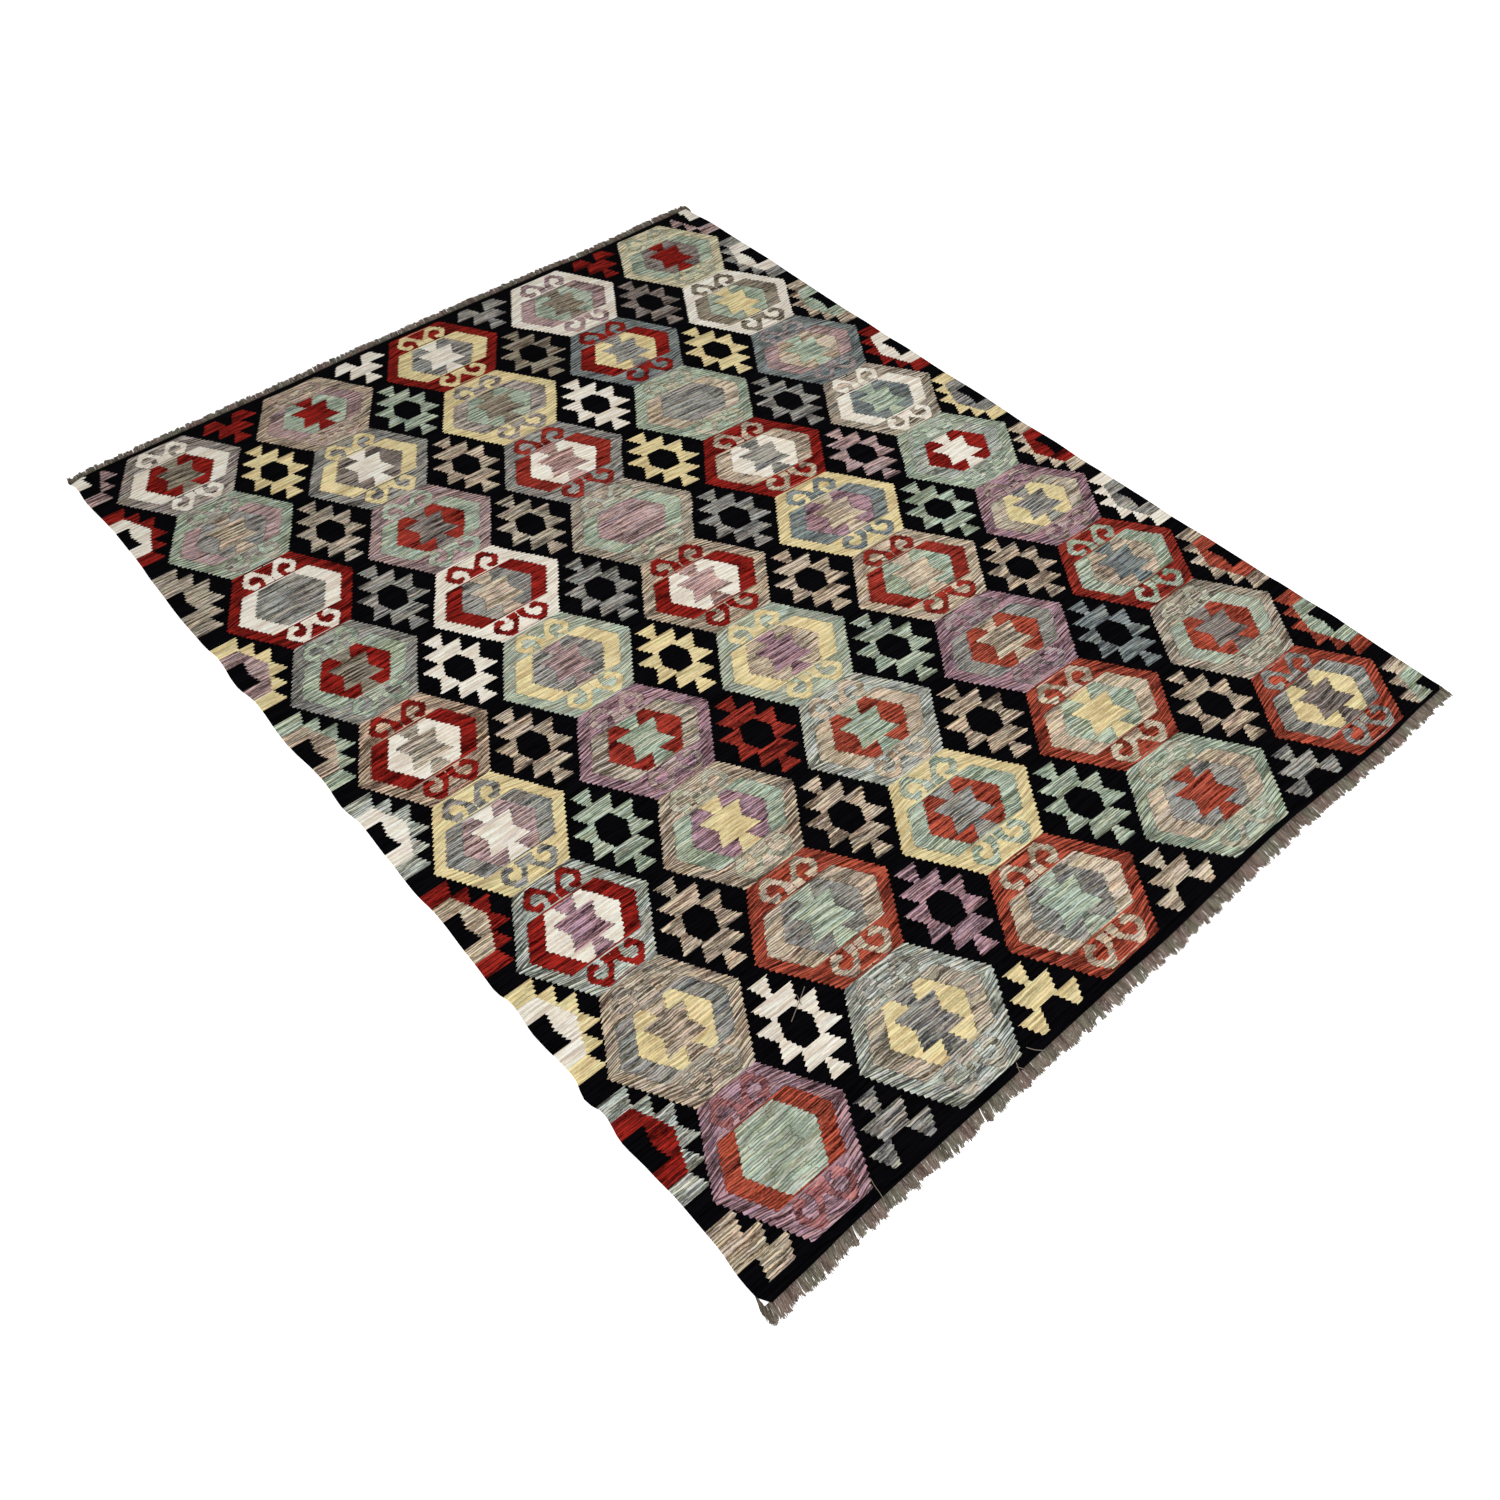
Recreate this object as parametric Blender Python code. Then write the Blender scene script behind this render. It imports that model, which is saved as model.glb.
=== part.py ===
"""Kilim rug: one flat woven cloth, and the cut warp fringe left standing at each of its two ends.

The rug lies flat on the ground. X runs across it, Y along its warps with the far end at +Y, and Z up.
The origin is the middle of its footprint, on the ground.
"""

import math
import random

import bmesh
import bpy

# Driving dimensions, in metres.
CLOTH_WIDTH = 2.000  # between the straight lines that the two selvedges wander about
CLOTH_LENGTH = 2.621  # between the straight lines that the two woven ends wander about
CLOTH_THICKNESS = 0.003
EDGE_ROUND = 0.0007  # radius of the worn edge, top and bottom
FRINGE_REACH = 0.034  # how far the longest lock stands past the end line, at each end
LOCKS_PER_END = 149
LOCK_FILL = 0.76  # share of the pitch that a lock's root takes
STRIP_DEPTH = 0.006  # the crowded warp roots, in one narrow strip along the cloth's end
STRIP_THICKNESS = 0.0024
PART_GAP = 0.0003  # between the cloth and each strip
STEPS_PER_SPAN = 3  # outline points for each span between two stations of a table

MM = 0.001

# How far the selvedges lie outside their straight lines, in mm, at stations measured from the far end.
SIDE_STATIONS = (
    # from far end, left out, right out
    (0.000, 6.0, 4.0),
    (0.040, -2.0, 6.0),
    (0.100, 3.0, 13.0),
    (0.240, -3.0, 12.0),
    (0.370, -1.0, 13.5),
    (0.480, 5.0, 10.0),
    (0.620, 10.0, 7.0),
    (0.730, 9.0, 5.0),
    (0.790, 3.0, 7.0),
    (0.890, 12.0, 4.0),
    (0.960, 2.0, 7.0),
    (1.100, 10.0, 4.0),
    (1.240, 0.0, 7.0),
    (1.330, 7.0, 4.0),
    (1.390, -1.0, 2.0),
    (1.500, 3.0, 6.0),
    (1.600, 6.0, 2.0),
    (1.670, 1.0, 4.0),
    (1.800, 6.0, 5.0),
    (1.880, 10.0, 2.0),
    (1.920, 1.0, 3.0),
    (2.000, 8.0, 6.0),
    (2.110, 1.0, 6.0),
    (2.160, 13.5, 5.0),
    (2.200, 2.0, 8.0),
    (2.260, 12.0, 7.0),
    (2.340, 6.0, 10.0),
    (2.400, 2.0, 7.0),
    (2.500, 2.0, 4.0),
    (2.570, 8.0, 3.0),
    (CLOTH_LENGTH, 6.0, 2.0),
)

# How far each woven end lies outside its straight line, and how long its fringe is there, in mm.
FAR_STATIONS = (
    # from left side, end out, fringe length
    (0.00, -2.0, 20.0),
    (0.10, 0.0, 21.0),
    (0.30, 2.0, 23.0),
    (0.56, 3.0, 25.0),
    (0.80, 8.0, 26.0),
    (1.00, 9.0, 25.0),
    (1.30, 7.0, 26.0),
    (1.45, 5.0, 25.0),
    (1.60, 0.0, 27.0),
    (1.75, 4.0, 25.0),
    (1.85, 8.0, 26.0),
    (CLOTH_WIDTH, 10.0, 24.0),
)
NEAR_STATIONS = (
    # from left side, end out, fringe length
    (0.00, 5.0, 28.0),
    (0.08, 4.0, 28.0),
    (0.20, 0.0, 30.0),
    (0.60, 0.0, 28.0),
    (0.85, 0.0, 30.0),
    (1.02, 3.0, 27.0),
    (1.20, -1.0, 31.0),
    (1.36, -6.0, 33.0),
    (1.44, -6.0, 27.0),
    (1.52, -2.0, 30.0),
    (1.65, 5.0, 27.0),
    (1.78, 8.0, 25.0),
    (1.90, 4.0, 28.0),
    (CLOTH_WIDTH, 5.0, 27.0),
)

# How one lock differs from the next: shares of its length, of its root's width and height, and of the pitch.
LOCK_SHORTEST = 0.84
LOCK_TIP_WIDTH = (0.55, 0.85)
LOCK_TIP_HEIGHT = (0.45, 0.75)
LOCK_LEAN = 0.10
FAR_SEED = 11
NEAR_SEED = 23

COLLECTION = "kilim_rug"
CLOTH_COLOUR = (0.130, 0.085, 0.075, 1.0)
FRINGE_COLOUR = (0.190, 0.160, 0.135, 1.0)


def eased(stations, column, place):
    """A column's value at a place, flowing from station to station with no overshoot."""
    for near, far in zip(stations, stations[1:]):
        if place <= far[0]:
            share = (place - near[0]) / (far[0] - near[0])
            share = (1 - math.cos(math.pi * share)) / 2
            return near[column] + (far[column] - near[column]) * share
    return stations[-1][column]


def places(stations):
    """The stations themselves and evenly spaced places between them."""
    found = []
    for near, far in zip(stations, stations[1:]):
        for step in range(STEPS_PER_SPAN):
            found.append(near[0] + (far[0] - near[0]) * step / STEPS_PER_SPAN)
    return found + [stations[-1][0]]


def side_x(side, from_far):
    """Where a selvedge lies across the rug. side is -1 on the left and +1 on the right."""
    column = 1 if side < 0 else 2
    return side * (CLOTH_WIDTH / 2 + eased(SIDE_STATIONS, column, from_far) * MM)


def end_edge(stations, end):
    """A woven end's points from the left corner to the right one. end is +1 far and -1 near."""
    from_far = 0.0 if end > 0 else CLOTH_LENGTH
    points = []
    for place in places(stations):
        y = end * (CLOTH_LENGTH / 2 + eased(stations, 1, place) * MM)
        points.append((place - CLOTH_WIDTH / 2, y))
    points[0] = (side_x(-1, from_far), points[0][1])
    points[-1] = (side_x(1, from_far), points[-1][1])
    return points


def cloth_outline():
    """Once round the cloth, anticlockwise from above, starting at the near left corner."""
    along = places(SIDE_STATIONS)[1:-1]
    right = [(side_x(1, place), CLOTH_LENGTH / 2 - place) for place in reversed(along)]
    left = [(side_x(-1, place), CLOTH_LENGTH / 2 - place) for place in along]
    near = end_edge(NEAR_STATIONS, -1)
    far = end_edge(FAR_STATIONS, 1)
    return near + right + far[::-1] + left


def material(name, colour, roughness):
    """A plain dielectric surface."""
    made = bpy.data.materials.new(name)
    made.use_nodes = True
    shader = made.node_tree.nodes["Principled BSDF"]
    shader.inputs["Base Color"].default_value = colour
    shader.inputs["Roughness"].default_value = roughness
    shader.inputs["Metallic"].default_value = 0.0
    made.diffuse_color = colour
    return made


def make_cloth(collection):
    """The woven field with its black end bands: a flat sheet with rounded edges, its back on the ground."""
    curve = bpy.data.curves.new("woven_cloth", "CURVE")
    curve.dimensions = "2D"
    curve.fill_mode = "BOTH"
    curve.extrude = CLOTH_THICKNESS / 2 - EDGE_ROUND
    curve.bevel_depth = EDGE_ROUND
    curve.bevel_resolution = 1
    curve.offset = -EDGE_ROUND
    outline = cloth_outline()
    spline = curve.splines.new("POLY")
    spline.points.add(len(outline) - 1)
    for point, (x, y) in zip(spline.points, outline):
        point.co = (x, y, 0.0, 1.0)
    spline.use_cyclic_u = True
    cloth = bpy.data.objects.new("woven_cloth", curve)
    cloth.location.z = CLOTH_THICKNESS / 2
    cloth.data.materials.append(material("woven_wool", CLOTH_COLOUR, 0.95))
    collection.objects.link(cloth)
    return cloth


def lock_roots(stations, end):
    """The strip's outer edge as pairs of points, one pair for each lock's root, from left to right."""
    pitch = CLOTH_WIDTH / LOCKS_PER_END
    roots = []
    for index in range(LOCKS_PER_END):
        pair = []
        for side in (-1, 1):
            place = (index + 0.5 + side * LOCK_FILL / 2) * pitch
            out = eased(stations, 1, place) * MM + PART_GAP + STRIP_DEPTH
            pair.append((place - CLOTH_WIDTH / 2, end * (CLOTH_LENGTH / 2 + out)))
        roots.append(pair)
    return roots


def lock_tips(stations, roots, end, seed):
    """How far each lock stands past the end line. The longest one is cut to the full reach."""
    dice = random.Random(seed)
    tips = []
    for (left, _), (right, _) in roots:
        place = (left + right) / 2 + CLOTH_WIDTH / 2
        length = eased(stations, 2, place) * dice.uniform(LOCK_SHORTEST, 1.0)
        tips.append((eased(stations, 1, place) + length) * MM)
    tips = [min(tip, FRINGE_REACH) for tip in tips]
    tips[tips.index(max(tips))] = FRINGE_REACH
    return tips


def strip_slab(mesh, inner, roots):
    """The strip between the cloth's end and the locks, and the face that each lock grows from."""
    first = (inner[0][0], roots[0][0][1])
    last = (inner[-1][0], roots[-1][1][1])
    outer = [first] + [point for pair in roots for point in pair] + [last]
    corners = [mesh.verts.new((x, y, 0.0)) for x, y in outer + inner[::-1]]
    bottom = mesh.faces.new(corners)
    raised = bmesh.ops.extrude_face_region(mesh, geom=[bottom], use_keep_orig=True)
    for item in raised["geom"]:
        if isinstance(item, bmesh.types.BMVert):
            item.co.z = STRIP_THICKNESS
    sides = []
    for index in range(len(roots)):
        start, stop = corners[1 + 2 * index], corners[2 + 2 * index]
        edge = mesh.edges.get((start, stop))
        sides.append(next(face for face in edge.link_faces if face != bottom))
    return sides


def grow_lock(mesh, root_face, reach, end, dice, pitch):
    """Draws a root face out into one tapered four-sided lock that lies level on the ground."""
    middle = root_face.calc_center_median().x
    narrow = dice.uniform(*LOCK_TIP_WIDTH)
    low = dice.uniform(*LOCK_TIP_HEIGHT)
    lean = dice.uniform(-LOCK_LEAN, LOCK_LEAN) * pitch
    drawn = bmesh.ops.extrude_discrete_faces(mesh, faces=[root_face])["faces"][0]
    for corner in drawn.verts:
        corner.co.x = middle + lean + (corner.co.x - middle) * narrow
        corner.co.y = end * (CLOTH_LENGTH / 2 + reach)
        corner.co.z *= low


def make_fringe(collection, name, stations, end, seed):
    """One end's fringe: locks of cut warps, fused at their roots into a strip parted from the cloth."""
    inner = [(x, y + end * PART_GAP) for x, y in end_edge(stations, end)]
    roots = lock_roots(stations, end)
    tips = lock_tips(stations, roots, end, seed)
    dice = random.Random(seed + 1)
    mesh = bmesh.new()
    sides = strip_slab(mesh, inner, roots)
    for root_face, reach in zip(sides, tips):
        grow_lock(mesh, root_face, reach, end, dice, CLOTH_WIDTH / LOCKS_PER_END)
    bmesh.ops.recalc_face_normals(mesh, faces=mesh.faces)
    data = bpy.data.meshes.new(name)
    mesh.to_mesh(data)
    mesh.free()
    data.materials.append(material(name + "_warp", FRINGE_COLOUR, 0.95))
    fringe = bpy.data.objects.new(name, data)
    collection.objects.link(fringe)
    return fringe


def main():
    for old in list(bpy.data.objects):
        bpy.data.objects.remove(old, do_unlink=True)
    collection = bpy.data.collections.new(COLLECTION)
    bpy.context.scene.collection.children.link(collection)
    make_cloth(collection)
    make_fringe(collection, "fringe_far", FAR_STATIONS, 1, FAR_SEED)
    make_fringe(collection, "fringe_near", NEAR_STATIONS, -1, NEAR_SEED)


main()
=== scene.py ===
"""Kilim rug: the slit-woven field of medallions, hooks and stars, the cut warp fringe, and the studio.

Metres, +Z up. X runs across the rug, Y along its warps, and the far end is at +Y. The pattern is charted
on its own even lattice of cells. The cloth's mesh carries that lattice, pulled out of true as on the rug.
"""

import math
import random

import bpy
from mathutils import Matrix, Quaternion, Vector, noise


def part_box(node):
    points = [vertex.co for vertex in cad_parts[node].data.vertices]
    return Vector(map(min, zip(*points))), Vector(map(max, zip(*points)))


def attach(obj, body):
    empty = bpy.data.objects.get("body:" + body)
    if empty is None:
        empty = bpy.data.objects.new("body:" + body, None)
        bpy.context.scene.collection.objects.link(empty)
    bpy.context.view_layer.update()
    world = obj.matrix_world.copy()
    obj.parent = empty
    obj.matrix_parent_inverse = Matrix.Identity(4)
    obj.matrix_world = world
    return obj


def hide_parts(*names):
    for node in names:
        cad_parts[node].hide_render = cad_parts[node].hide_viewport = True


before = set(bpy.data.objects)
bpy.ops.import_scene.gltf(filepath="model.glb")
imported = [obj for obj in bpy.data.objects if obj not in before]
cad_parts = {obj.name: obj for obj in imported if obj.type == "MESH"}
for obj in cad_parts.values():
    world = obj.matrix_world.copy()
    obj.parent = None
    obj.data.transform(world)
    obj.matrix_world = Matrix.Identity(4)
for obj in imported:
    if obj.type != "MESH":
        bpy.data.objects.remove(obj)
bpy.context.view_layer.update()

MM = 0.001

# ---------------------------------------------------------------- the rug's own sizes, in metres

CLOTH_THICKNESS = 0.003
EDGE_ROUND = 0.0007

# The charted pattern: one medallion to a cell, five columns by nine rows.
COLUMNS = 5
ROWS = 9
CELL_ACROSS = 0.394
CELL_ALONG = 0.287
MEDALLION_HALF = 0.170  # the charted half width that the columns' own half widths are measured against

# The straight lines that the two selvedges and the far end wander about.
LEFT_LINE = -1.0025
RIGHT_LINE = 1.0045
FAR_LINE = 1.3105
# Where the lattice lies, from the left line and from the far line.
COLUMN_PLACES = (
    # middle at the far row and at the near row, and the medallions' half width at both
    (0.222, 0.193, 0.162, 0.147),
    (0.606, 0.556, 0.169, 0.168),
    (0.996, 0.947, 0.170, 0.173),
    (1.409, 1.367, 0.174, 0.184),
    (1.795, 1.779, 0.177, 0.176),
)
ROW_PLACES = (
    # middle along the left columns, and how much further from the far end it is along the right column
    (0.157, 0.021),
    (0.437, 0.047),
    (0.731, 0.060),
    (1.021, 0.062),
    (1.307, 0.056),
    (1.591, 0.045),
    (1.875, 0.033),
    (2.156, 0.040),
    (2.443, 0.032),
)
DIP_SHARES = (0.0, 0.0, 0.1, 0.55, 1.0)  # each column's share of that dip
# Where each column's first cell starts and its last cell ends, from the far line.
FAR_BORDER = (0.015, 0.016, 0.008, 0.014, 0.012)
NEAR_BORDER = (2.600, 2.603, 2.603, 2.600, 2.617)

# The mesh: faces to each half cell, and to the plain margins round the lattice.
ACROSS_STEPS = 10
ALONG_STEPS = 8
MARGIN_STEPS = 2
WANDER = 0.0012  # how far the lattice's lines stray from their places
WANDER_SEED = 5  # any but 0, which would stand for the time of day
UNDULATION = 0.0011  # how far the cloth lifts off the floor where it lies loosest
LEVEL_FACE = 0.9  # a face whose normal rises more than this is on the top or the underside, not the edge

# ---------------------------------------------------------------- the wools

LIGHT_LEVEL = 1.08  # how bright the studio light makes a white surface
DYES = (
    # letter, name, darkest picks, lightest picks, as they look in the light, and how deep its painted
    # furrow shade is
    ("K", "black", (1, 1, 2), (7, 7, 11), 0.10),
    ("C", "cream", (216, 199, 180), (255, 252, 238), 0.22),
    ("Y", "straw", (190, 168, 121), (254, 236, 181), 0.32),
    ("B", "beige", (128, 110, 90), (250, 230, 202), 0.80),
    ("T", "taupe", (96, 80, 68), (244, 222, 194), 0.95),
    ("O", "olive", (86, 78, 66), (232, 216, 194), 0.95),
    ("A", "sage", (88, 90, 82), (232, 236, 222), 0.95),
    ("M", "mint", (112, 124, 104), (218, 230, 206), 0.90),
    ("S", "slate", (68, 67, 66), (200, 196, 186), 0.95),
    ("D", "deep slate", (64, 72, 75), (168, 176, 172), 0.90),
    ("V", "mauve", (96, 74, 74), (228, 196, 192), 0.95),
    ("P", "plum", (66, 42, 50), (216, 174, 184), 0.95),
    ("R", "crimson", (64, 2, 2), (180, 44, 36), 0.95),
    ("E", "madder", (64, 4, 3), (196, 70, 56), 0.95),
    ("W", "brick", (76, 18, 10), (216, 102, 78), 0.95),
    ("G", "grey", (60, 50, 47), (182, 168, 158), 0.95),
    ("N", "dark olive", (64, 52, 42), (188, 176, 154), 0.95),
    ("U", "ash", (74, 68, 62), (224, 210, 198), 0.95),
    ("I", "rose", (112, 80, 76), (248, 208, 198), 0.90),
    ("F", "lichen", (140, 132, 106), (255, 244, 206), 0.50),
    ("X", "warm taupe", (82, 62, 50), (248, 216, 186), 0.95),
    ("L", "pale mint", (138, 144, 124), (216, 225, 204), 0.80),
)
DYE_STOPS = 24  # the equal steps of the ramps that hold the dyes, a few more than there are dyes
# How one dye lot strays from the next, as factors on its red, green and blue.
COOL_LOT, WARM_LOT = (0.93, 1.0, 1.07, 1.0), (1.07, 1.0, 0.93, 1.0)
PINK_LOT, GREEN_LOT = (1.02, 0.96, 1.02, 1.0), (0.98, 1.04, 0.98, 1.0)
LOT_NOISE = (0.32, 0.68)  # noise at which a pick is wholly of the first lot, and wholly of the second
SHADOW = (0.008, 0.005, 0.004, 1.0)  # what shows in the slits, grooves and furrows, each to its own share
SLIT_SHADE = 0.62
GROOVE_SHADE = (0.85, 0.35)  # near a medallion's outline, and further in
GROOVE_IN_STARS = 0.75  # share of that in the stars
GROOVE_IN_PLAIN = 0.20  # share of it in a wool whose furrows don't show
FURROW_SHADE = 0.80
# The warps, as they look in the light: darkest and lightest strands, two tints, dark fibres, painted root
# shade.
WARP_DARK, WARP_LIGHT = (92, 81, 72), (196, 183, 168)
WARP_PINK, WARP_GREEN = (250, 229, 232), (232, 245, 233)
WARP_FIBRE, WARP_ROOT_SHADE = (66, 58, 50), (40, 34, 30)

# A medallion's wools: outer border, ring and hooks, core, heart. A dot is a core without a heart, and a
# small letter is a ring whose wool is let into the hooks thinly, so that they are faint.
MEDALLION_WOOLS = (
    "UCRN TvMR RYSC CVMN FmGR",
    "MvST SYGC YUMN DRYS CNMY",
    "RCS. VMEG SECI MbS. DvBM",
    "SMRN CRSB OmV. RTCS OCDM",
    "XRCO LYSV TRCI YDPB MaRC",
    "YSVC PoEM LYTP BEMB PoYS",
    "ARCP TmPY ABWM PsWT EMTD",
    "TsYT WTSM YMWS WBMY OlWG",
    "PwL. AoYS WBSM MbSW WSYG",
)
# Whole stars stand between the columns, ten to a line from the far end.
STAR_WOOLS = ("RYOSCTMTCS", "CMTOSYETPY", "SNCYSTMTMB", "RGYSVMTDTS")
# Half stars are cut by the selvedges: their teeth, and the ring inside the teeth.
LEFT_TEETH, LEFT_RINGS = "VROYMARYAT", "CCOVTCBCRT"
RIGHT_TEETH, RIGHT_RINGS = "VSTRYBCTWT", "CCMCSRSWMM"

# ---------------------------------------------------------------- the chart of one medallion and its stars

WAIST_REACH = 0.174  # from a medallion's middle to its outline's middle line, at its waist
DRAW_IN = 0.669  # metres that the outline draws in for each metre along the warps
TOOTH = 0.00957  # one saw tooth of every outline, along the warps
TOOTH_RISE = 0.65  # share of a tooth over which it grows toward the near end, before it drops back
TOOTH_DEPTH = 0.0060  # from a tooth's notch to its tip
TOOTH_UNEVEN = 0.0022  # how far apart across the warps two whole teeth can stand
WOBBLE = 0.006  # how widely the drawn lines wander across the warps
SLIT_FREE = 0.30  # share of the teeth that close with no slit
SLIT_PART = (0.30, 0.92)  # the part of a tooth along which its slit opens
JOIN_SLIT = (0.0018, 0.0009)  # how far from a join its slit fades out, and how far it is full
HOOK_SLIT = (0.0017, 0.0008)  # the same beside a hook
GROOVE_EDGE = (0.0026, 0.0004)  # how far from a tooth's turn its groove fades out, and how far it is full
GROOVE_NOISE = (0.28, 0.48)  # noise at which a groove closes, and at which it is whole
GROOVE_REACH = (0.025, 0.050)  # how far in from the outline the grooves are deepest, and shallowest
TILT = 0.24  # how steeply the wefts slant where they turn at a medallion's outline
TILT_REACH = 0.04  # how far in from the outline they slant
BAND_HALF = 0.075  # half the height of the middle band that holds the ring, core and heart
LAST_WEFT = 0.0033  # the ring's wool that closes the core at the band's edge
RING_IN = 0.032  # from the outline to the ring
CORE_IN = 0.077  # from the outline to the core

# The figures built in tiers, each quarter of them from its middle outward along the warps.
TIERED = {
    # height of a tier, half width where the first one starts, how much less each next one starts with,
    # how much a tier widens on its way out, and how much less each next one widens
    "heart": (0.0375, 0.034, 0.024, 0.019, 0.0),
    "star": (0.0393, 0.054, 0.024, 0.025, 0.003),
    "half star": (0.0390, 0.083, 0.0195, 0.0215, 0.003),
}
STAR_TIERS = 3
STAR_HOLE = 0.0385  # half width of a star's hole at its middle
STAR_HOLE_DRAW_IN = 0.018  # how much it narrows on its way out
STAR_HOLE_AT_END = 0.0145  # how much narrower it is in the stars at the far end
STAR_HOLE_TEETH = 0.8  # share of the outlines' teeth that show in its sides
SIDE_RING = 0.076  # from the selvedge to the outer side of a half star's ring, at its middle
SIDE_RING_DRAW_IN = 0.43  # metres that the ring draws in for each metre along the warps
SIDE_RING_TIERS = 2
SIDE_HOLE = 0.028  # from the selvedge to the side of the ring's hole, at its middle
SIDE_HOLE_WIDENING = 0.010  # how much it widens on its way out

# The wefts' uneven yarn.
FURROW_PITCH = TOOTH / 2  # between the dark furrows that part one handful of picks from the next
FURROW_HALF = 0.0013  # half width of a furrow at its widest
FURROW_SOFT = 0.0003  # how far past its half width it fades out
FURROW_CORE = 0.45  # share of its half width over which it is darkest
FURROW_NOISE = (0.44, 0.56)  # noise at which a furrow closes, and at which it is widest
PICKS = (
    # width of one band of weft, how often its tone changes along it, and its share in the tone
    (0.0021, 18.0, 0.30),
    (FURROW_PITCH, 11.0, 0.55),
    (TOOTH, 8.0, 0.15),
)
PICK_NOISE = (0.33, 0.63)  # noise at which a pick is darkest, and lightest
SWINGS = (
    # waves to a metre across and along, and how far they carry the wefts: broad bows, then fine wavers
    (11.0, 7.0, 0.012),
    (55.0, 34.0, 0.0035),
)
BEAD = 0.0056  # how far a pick of weft runs from one dive under the warps to the next
GRAIN = 0.36  # how far one bead's tone can be from the next one's
# Painted shade: a pick darkens where it dives under the warps.
DIVE_SHADE = 0.12  # how much darker a pick is where it dives
DIVE_EDGE = (0.0014, 0.0002)  # how far from a dive that shade fades out, and how far it is full
WARP_PITCH = 0.0040  # between the ribs of the relief
WEFT_PITCH = 0.0019

# A pair of ram's horn hooks stands on the middle band: runs of hook wool, row by row, in mm.
HOOK_ROWS = (
    # height above the band, then from and to of the inner run, and from and to of the outer run
    (0.0, 0, 0, 0, 0),
    (3.0, 0, 24, 42, 57),
    (7.5, 0, 23, 37, 61),
    (12.5, 0, 22, 34, 65),
    (17.0, 0, 21, 36, 68),
    (20.5, 0, 20, 53, 71),
    (25.5, 5, 21, 56, 73),
    (30.5, 8, 23, 56, 73),
    (35.5, 12, 28, 53, 71),
    (40.0, 15, 32, 48, 68),
    (45.0, 20, 62, 0, 0),
    (50.0, 23, 59, 0, 0),
    (55.0, 27, 55, 0, 0),
    (60.0, 30, 50, 0, 0),
    (62.5, 0, 50, 0, 0),
    (64.0, 0, 0, 0, 0),
)
HOOK_SPAN = 80.0  # mm, the chart's whole range for both height and runs
HOOK_SHIFT = 0.006  # how far apart across the warps the hooks of two quarters can stand
HOOK_TEETH = 0.6  # share of the outlines' teeth that show in the hooks' sides
FAINT_SHARE = 0.5  # how much of the border's colour a faint hook takes on

# ---------------------------------------------------------------- fringe and loose ends

FRINGE_STRANDS = 6600
FRINGE_ROOT = 0.0035  # how deep the strands start inside the cloth's end
FAR_LENGTHS = (
    # place from the left line, and the fringe's length there
    (0.00, 0.020),
    (0.30, 0.023),
    (0.80, 0.026),
    (1.50, 0.025),
    (2.00, 0.025),
)
NEAR_LENGTHS = (
    (0.00, 0.028),
    (0.60, 0.028),
    (0.85, 0.030),
    (1.20, 0.031),
    (1.36, 0.033),
    (1.65, 0.027),
    (2.00, 0.027),
)
STRAND_RADIUS = 0.0006
STRAND_CUT = (0.76, 1.0)  # a strand's length as a share of its clump's
STRAND_LEAN = 0.15  # radians to either side of its clump's lean
STRAND_STRAY = 0.0012  # how far a root stands out of line, to either side
STRAND_PILE = 0.0016  # how high the roots lie on one another
STRAND_THINNING = 0.55  # share of its radius that a strand has lost at its tip
DROOP = 0.0016  # how far a strand sinks toward its tip
DROOP_UNEVEN = 0.003  # how far apart two strands' sinking can be
CLUMP = 0.0066  # width of one clump of strands
CLUMP_STRAY = 0.012  # how far the borders between clumps wander
CLUMP_CUT = (0.84, 1.22)  # a clump's length as a share of the fringe's
CLUMP_LEAN = 0.09  # radians to either side of the fringe's lean
BROAD_LEAN = 0.7  # radians over which the lean can swing slowly along the end
LOOSE_THREADS = (
    # points of one loose end of pale yarn, from the left selvedge line, from the far end line, and height
    ((0.430, 2.247, 0.0034), (0.404, 2.262, 0.0052), (0.384, 2.273, 0.0058), (0.363, 2.284, 0.0036)),
    ((0.407, 2.249, 0.0034), (0.405, 2.256, 0.0048), (0.402, 2.263, 0.0050), (0.400, 2.271, 0.0035)),
    ((0.268, 2.585, 0.0036), (0.264, 2.600, 0.0046), (0.262, 2.615, 0.0042), (0.258, 2.630, 0.0018)),
    ((0.612, 2.606, 0.0036), (0.604, 2.620, 0.0046), (0.598, 2.632, 0.0034), (0.594, 2.644, 0.0014)),
    ((0.606, 2.612, 0.0036), (0.612, 2.622, 0.0044), (0.618, 2.634, 0.0024), (0.620, 2.642, 0.0014)),
    ((0.648, 2.598, 0.0036), (0.656, 2.612, 0.0045), (0.668, 2.624, 0.0038), (0.676, 2.636, 0.0016)),
)
THREAD_RADIUS = 0.0007

# ---------------------------------------------------------------- camera, for a square picture, and floor

CAMERA_PLACE = (-1.4582, -1.7543, 2.1961)
CAMERA_AIM = (-0.2771, -0.4465, 0.0)
CAMERA_ROLL = 1.06  # degrees
CAMERA_LENS = 31.92  # mm
CAMERA_SENSOR = 36.0  # mm wide
FLOOR_HALF = 30.0
FLOOR_LEVEL = -0.0002


def dye_index(letter):
    """A dye's number in the list, or -1 for a dot."""
    letters = [dye[0] for dye in DYES]
    return letters.index(letter) if letter in letters else -1


def linear(channel):
    """One 0-255 channel as light."""
    share = channel / 255
    return share / 12.92 if share <= 0.04045 else ((share + 0.055) / 1.055) ** 2.4


def wool_colour(seen, fourth=1.0):
    """The wool's own colour, from how it looks in the studio light, with a fourth value beside it."""
    return tuple(linear(channel) / LIGHT_LEVEL for channel in seen) + (fourth,)


# ---------------------------------------------------------------- the lattice


def between(first, last, share):
    return first + (last - first) * share


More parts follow.
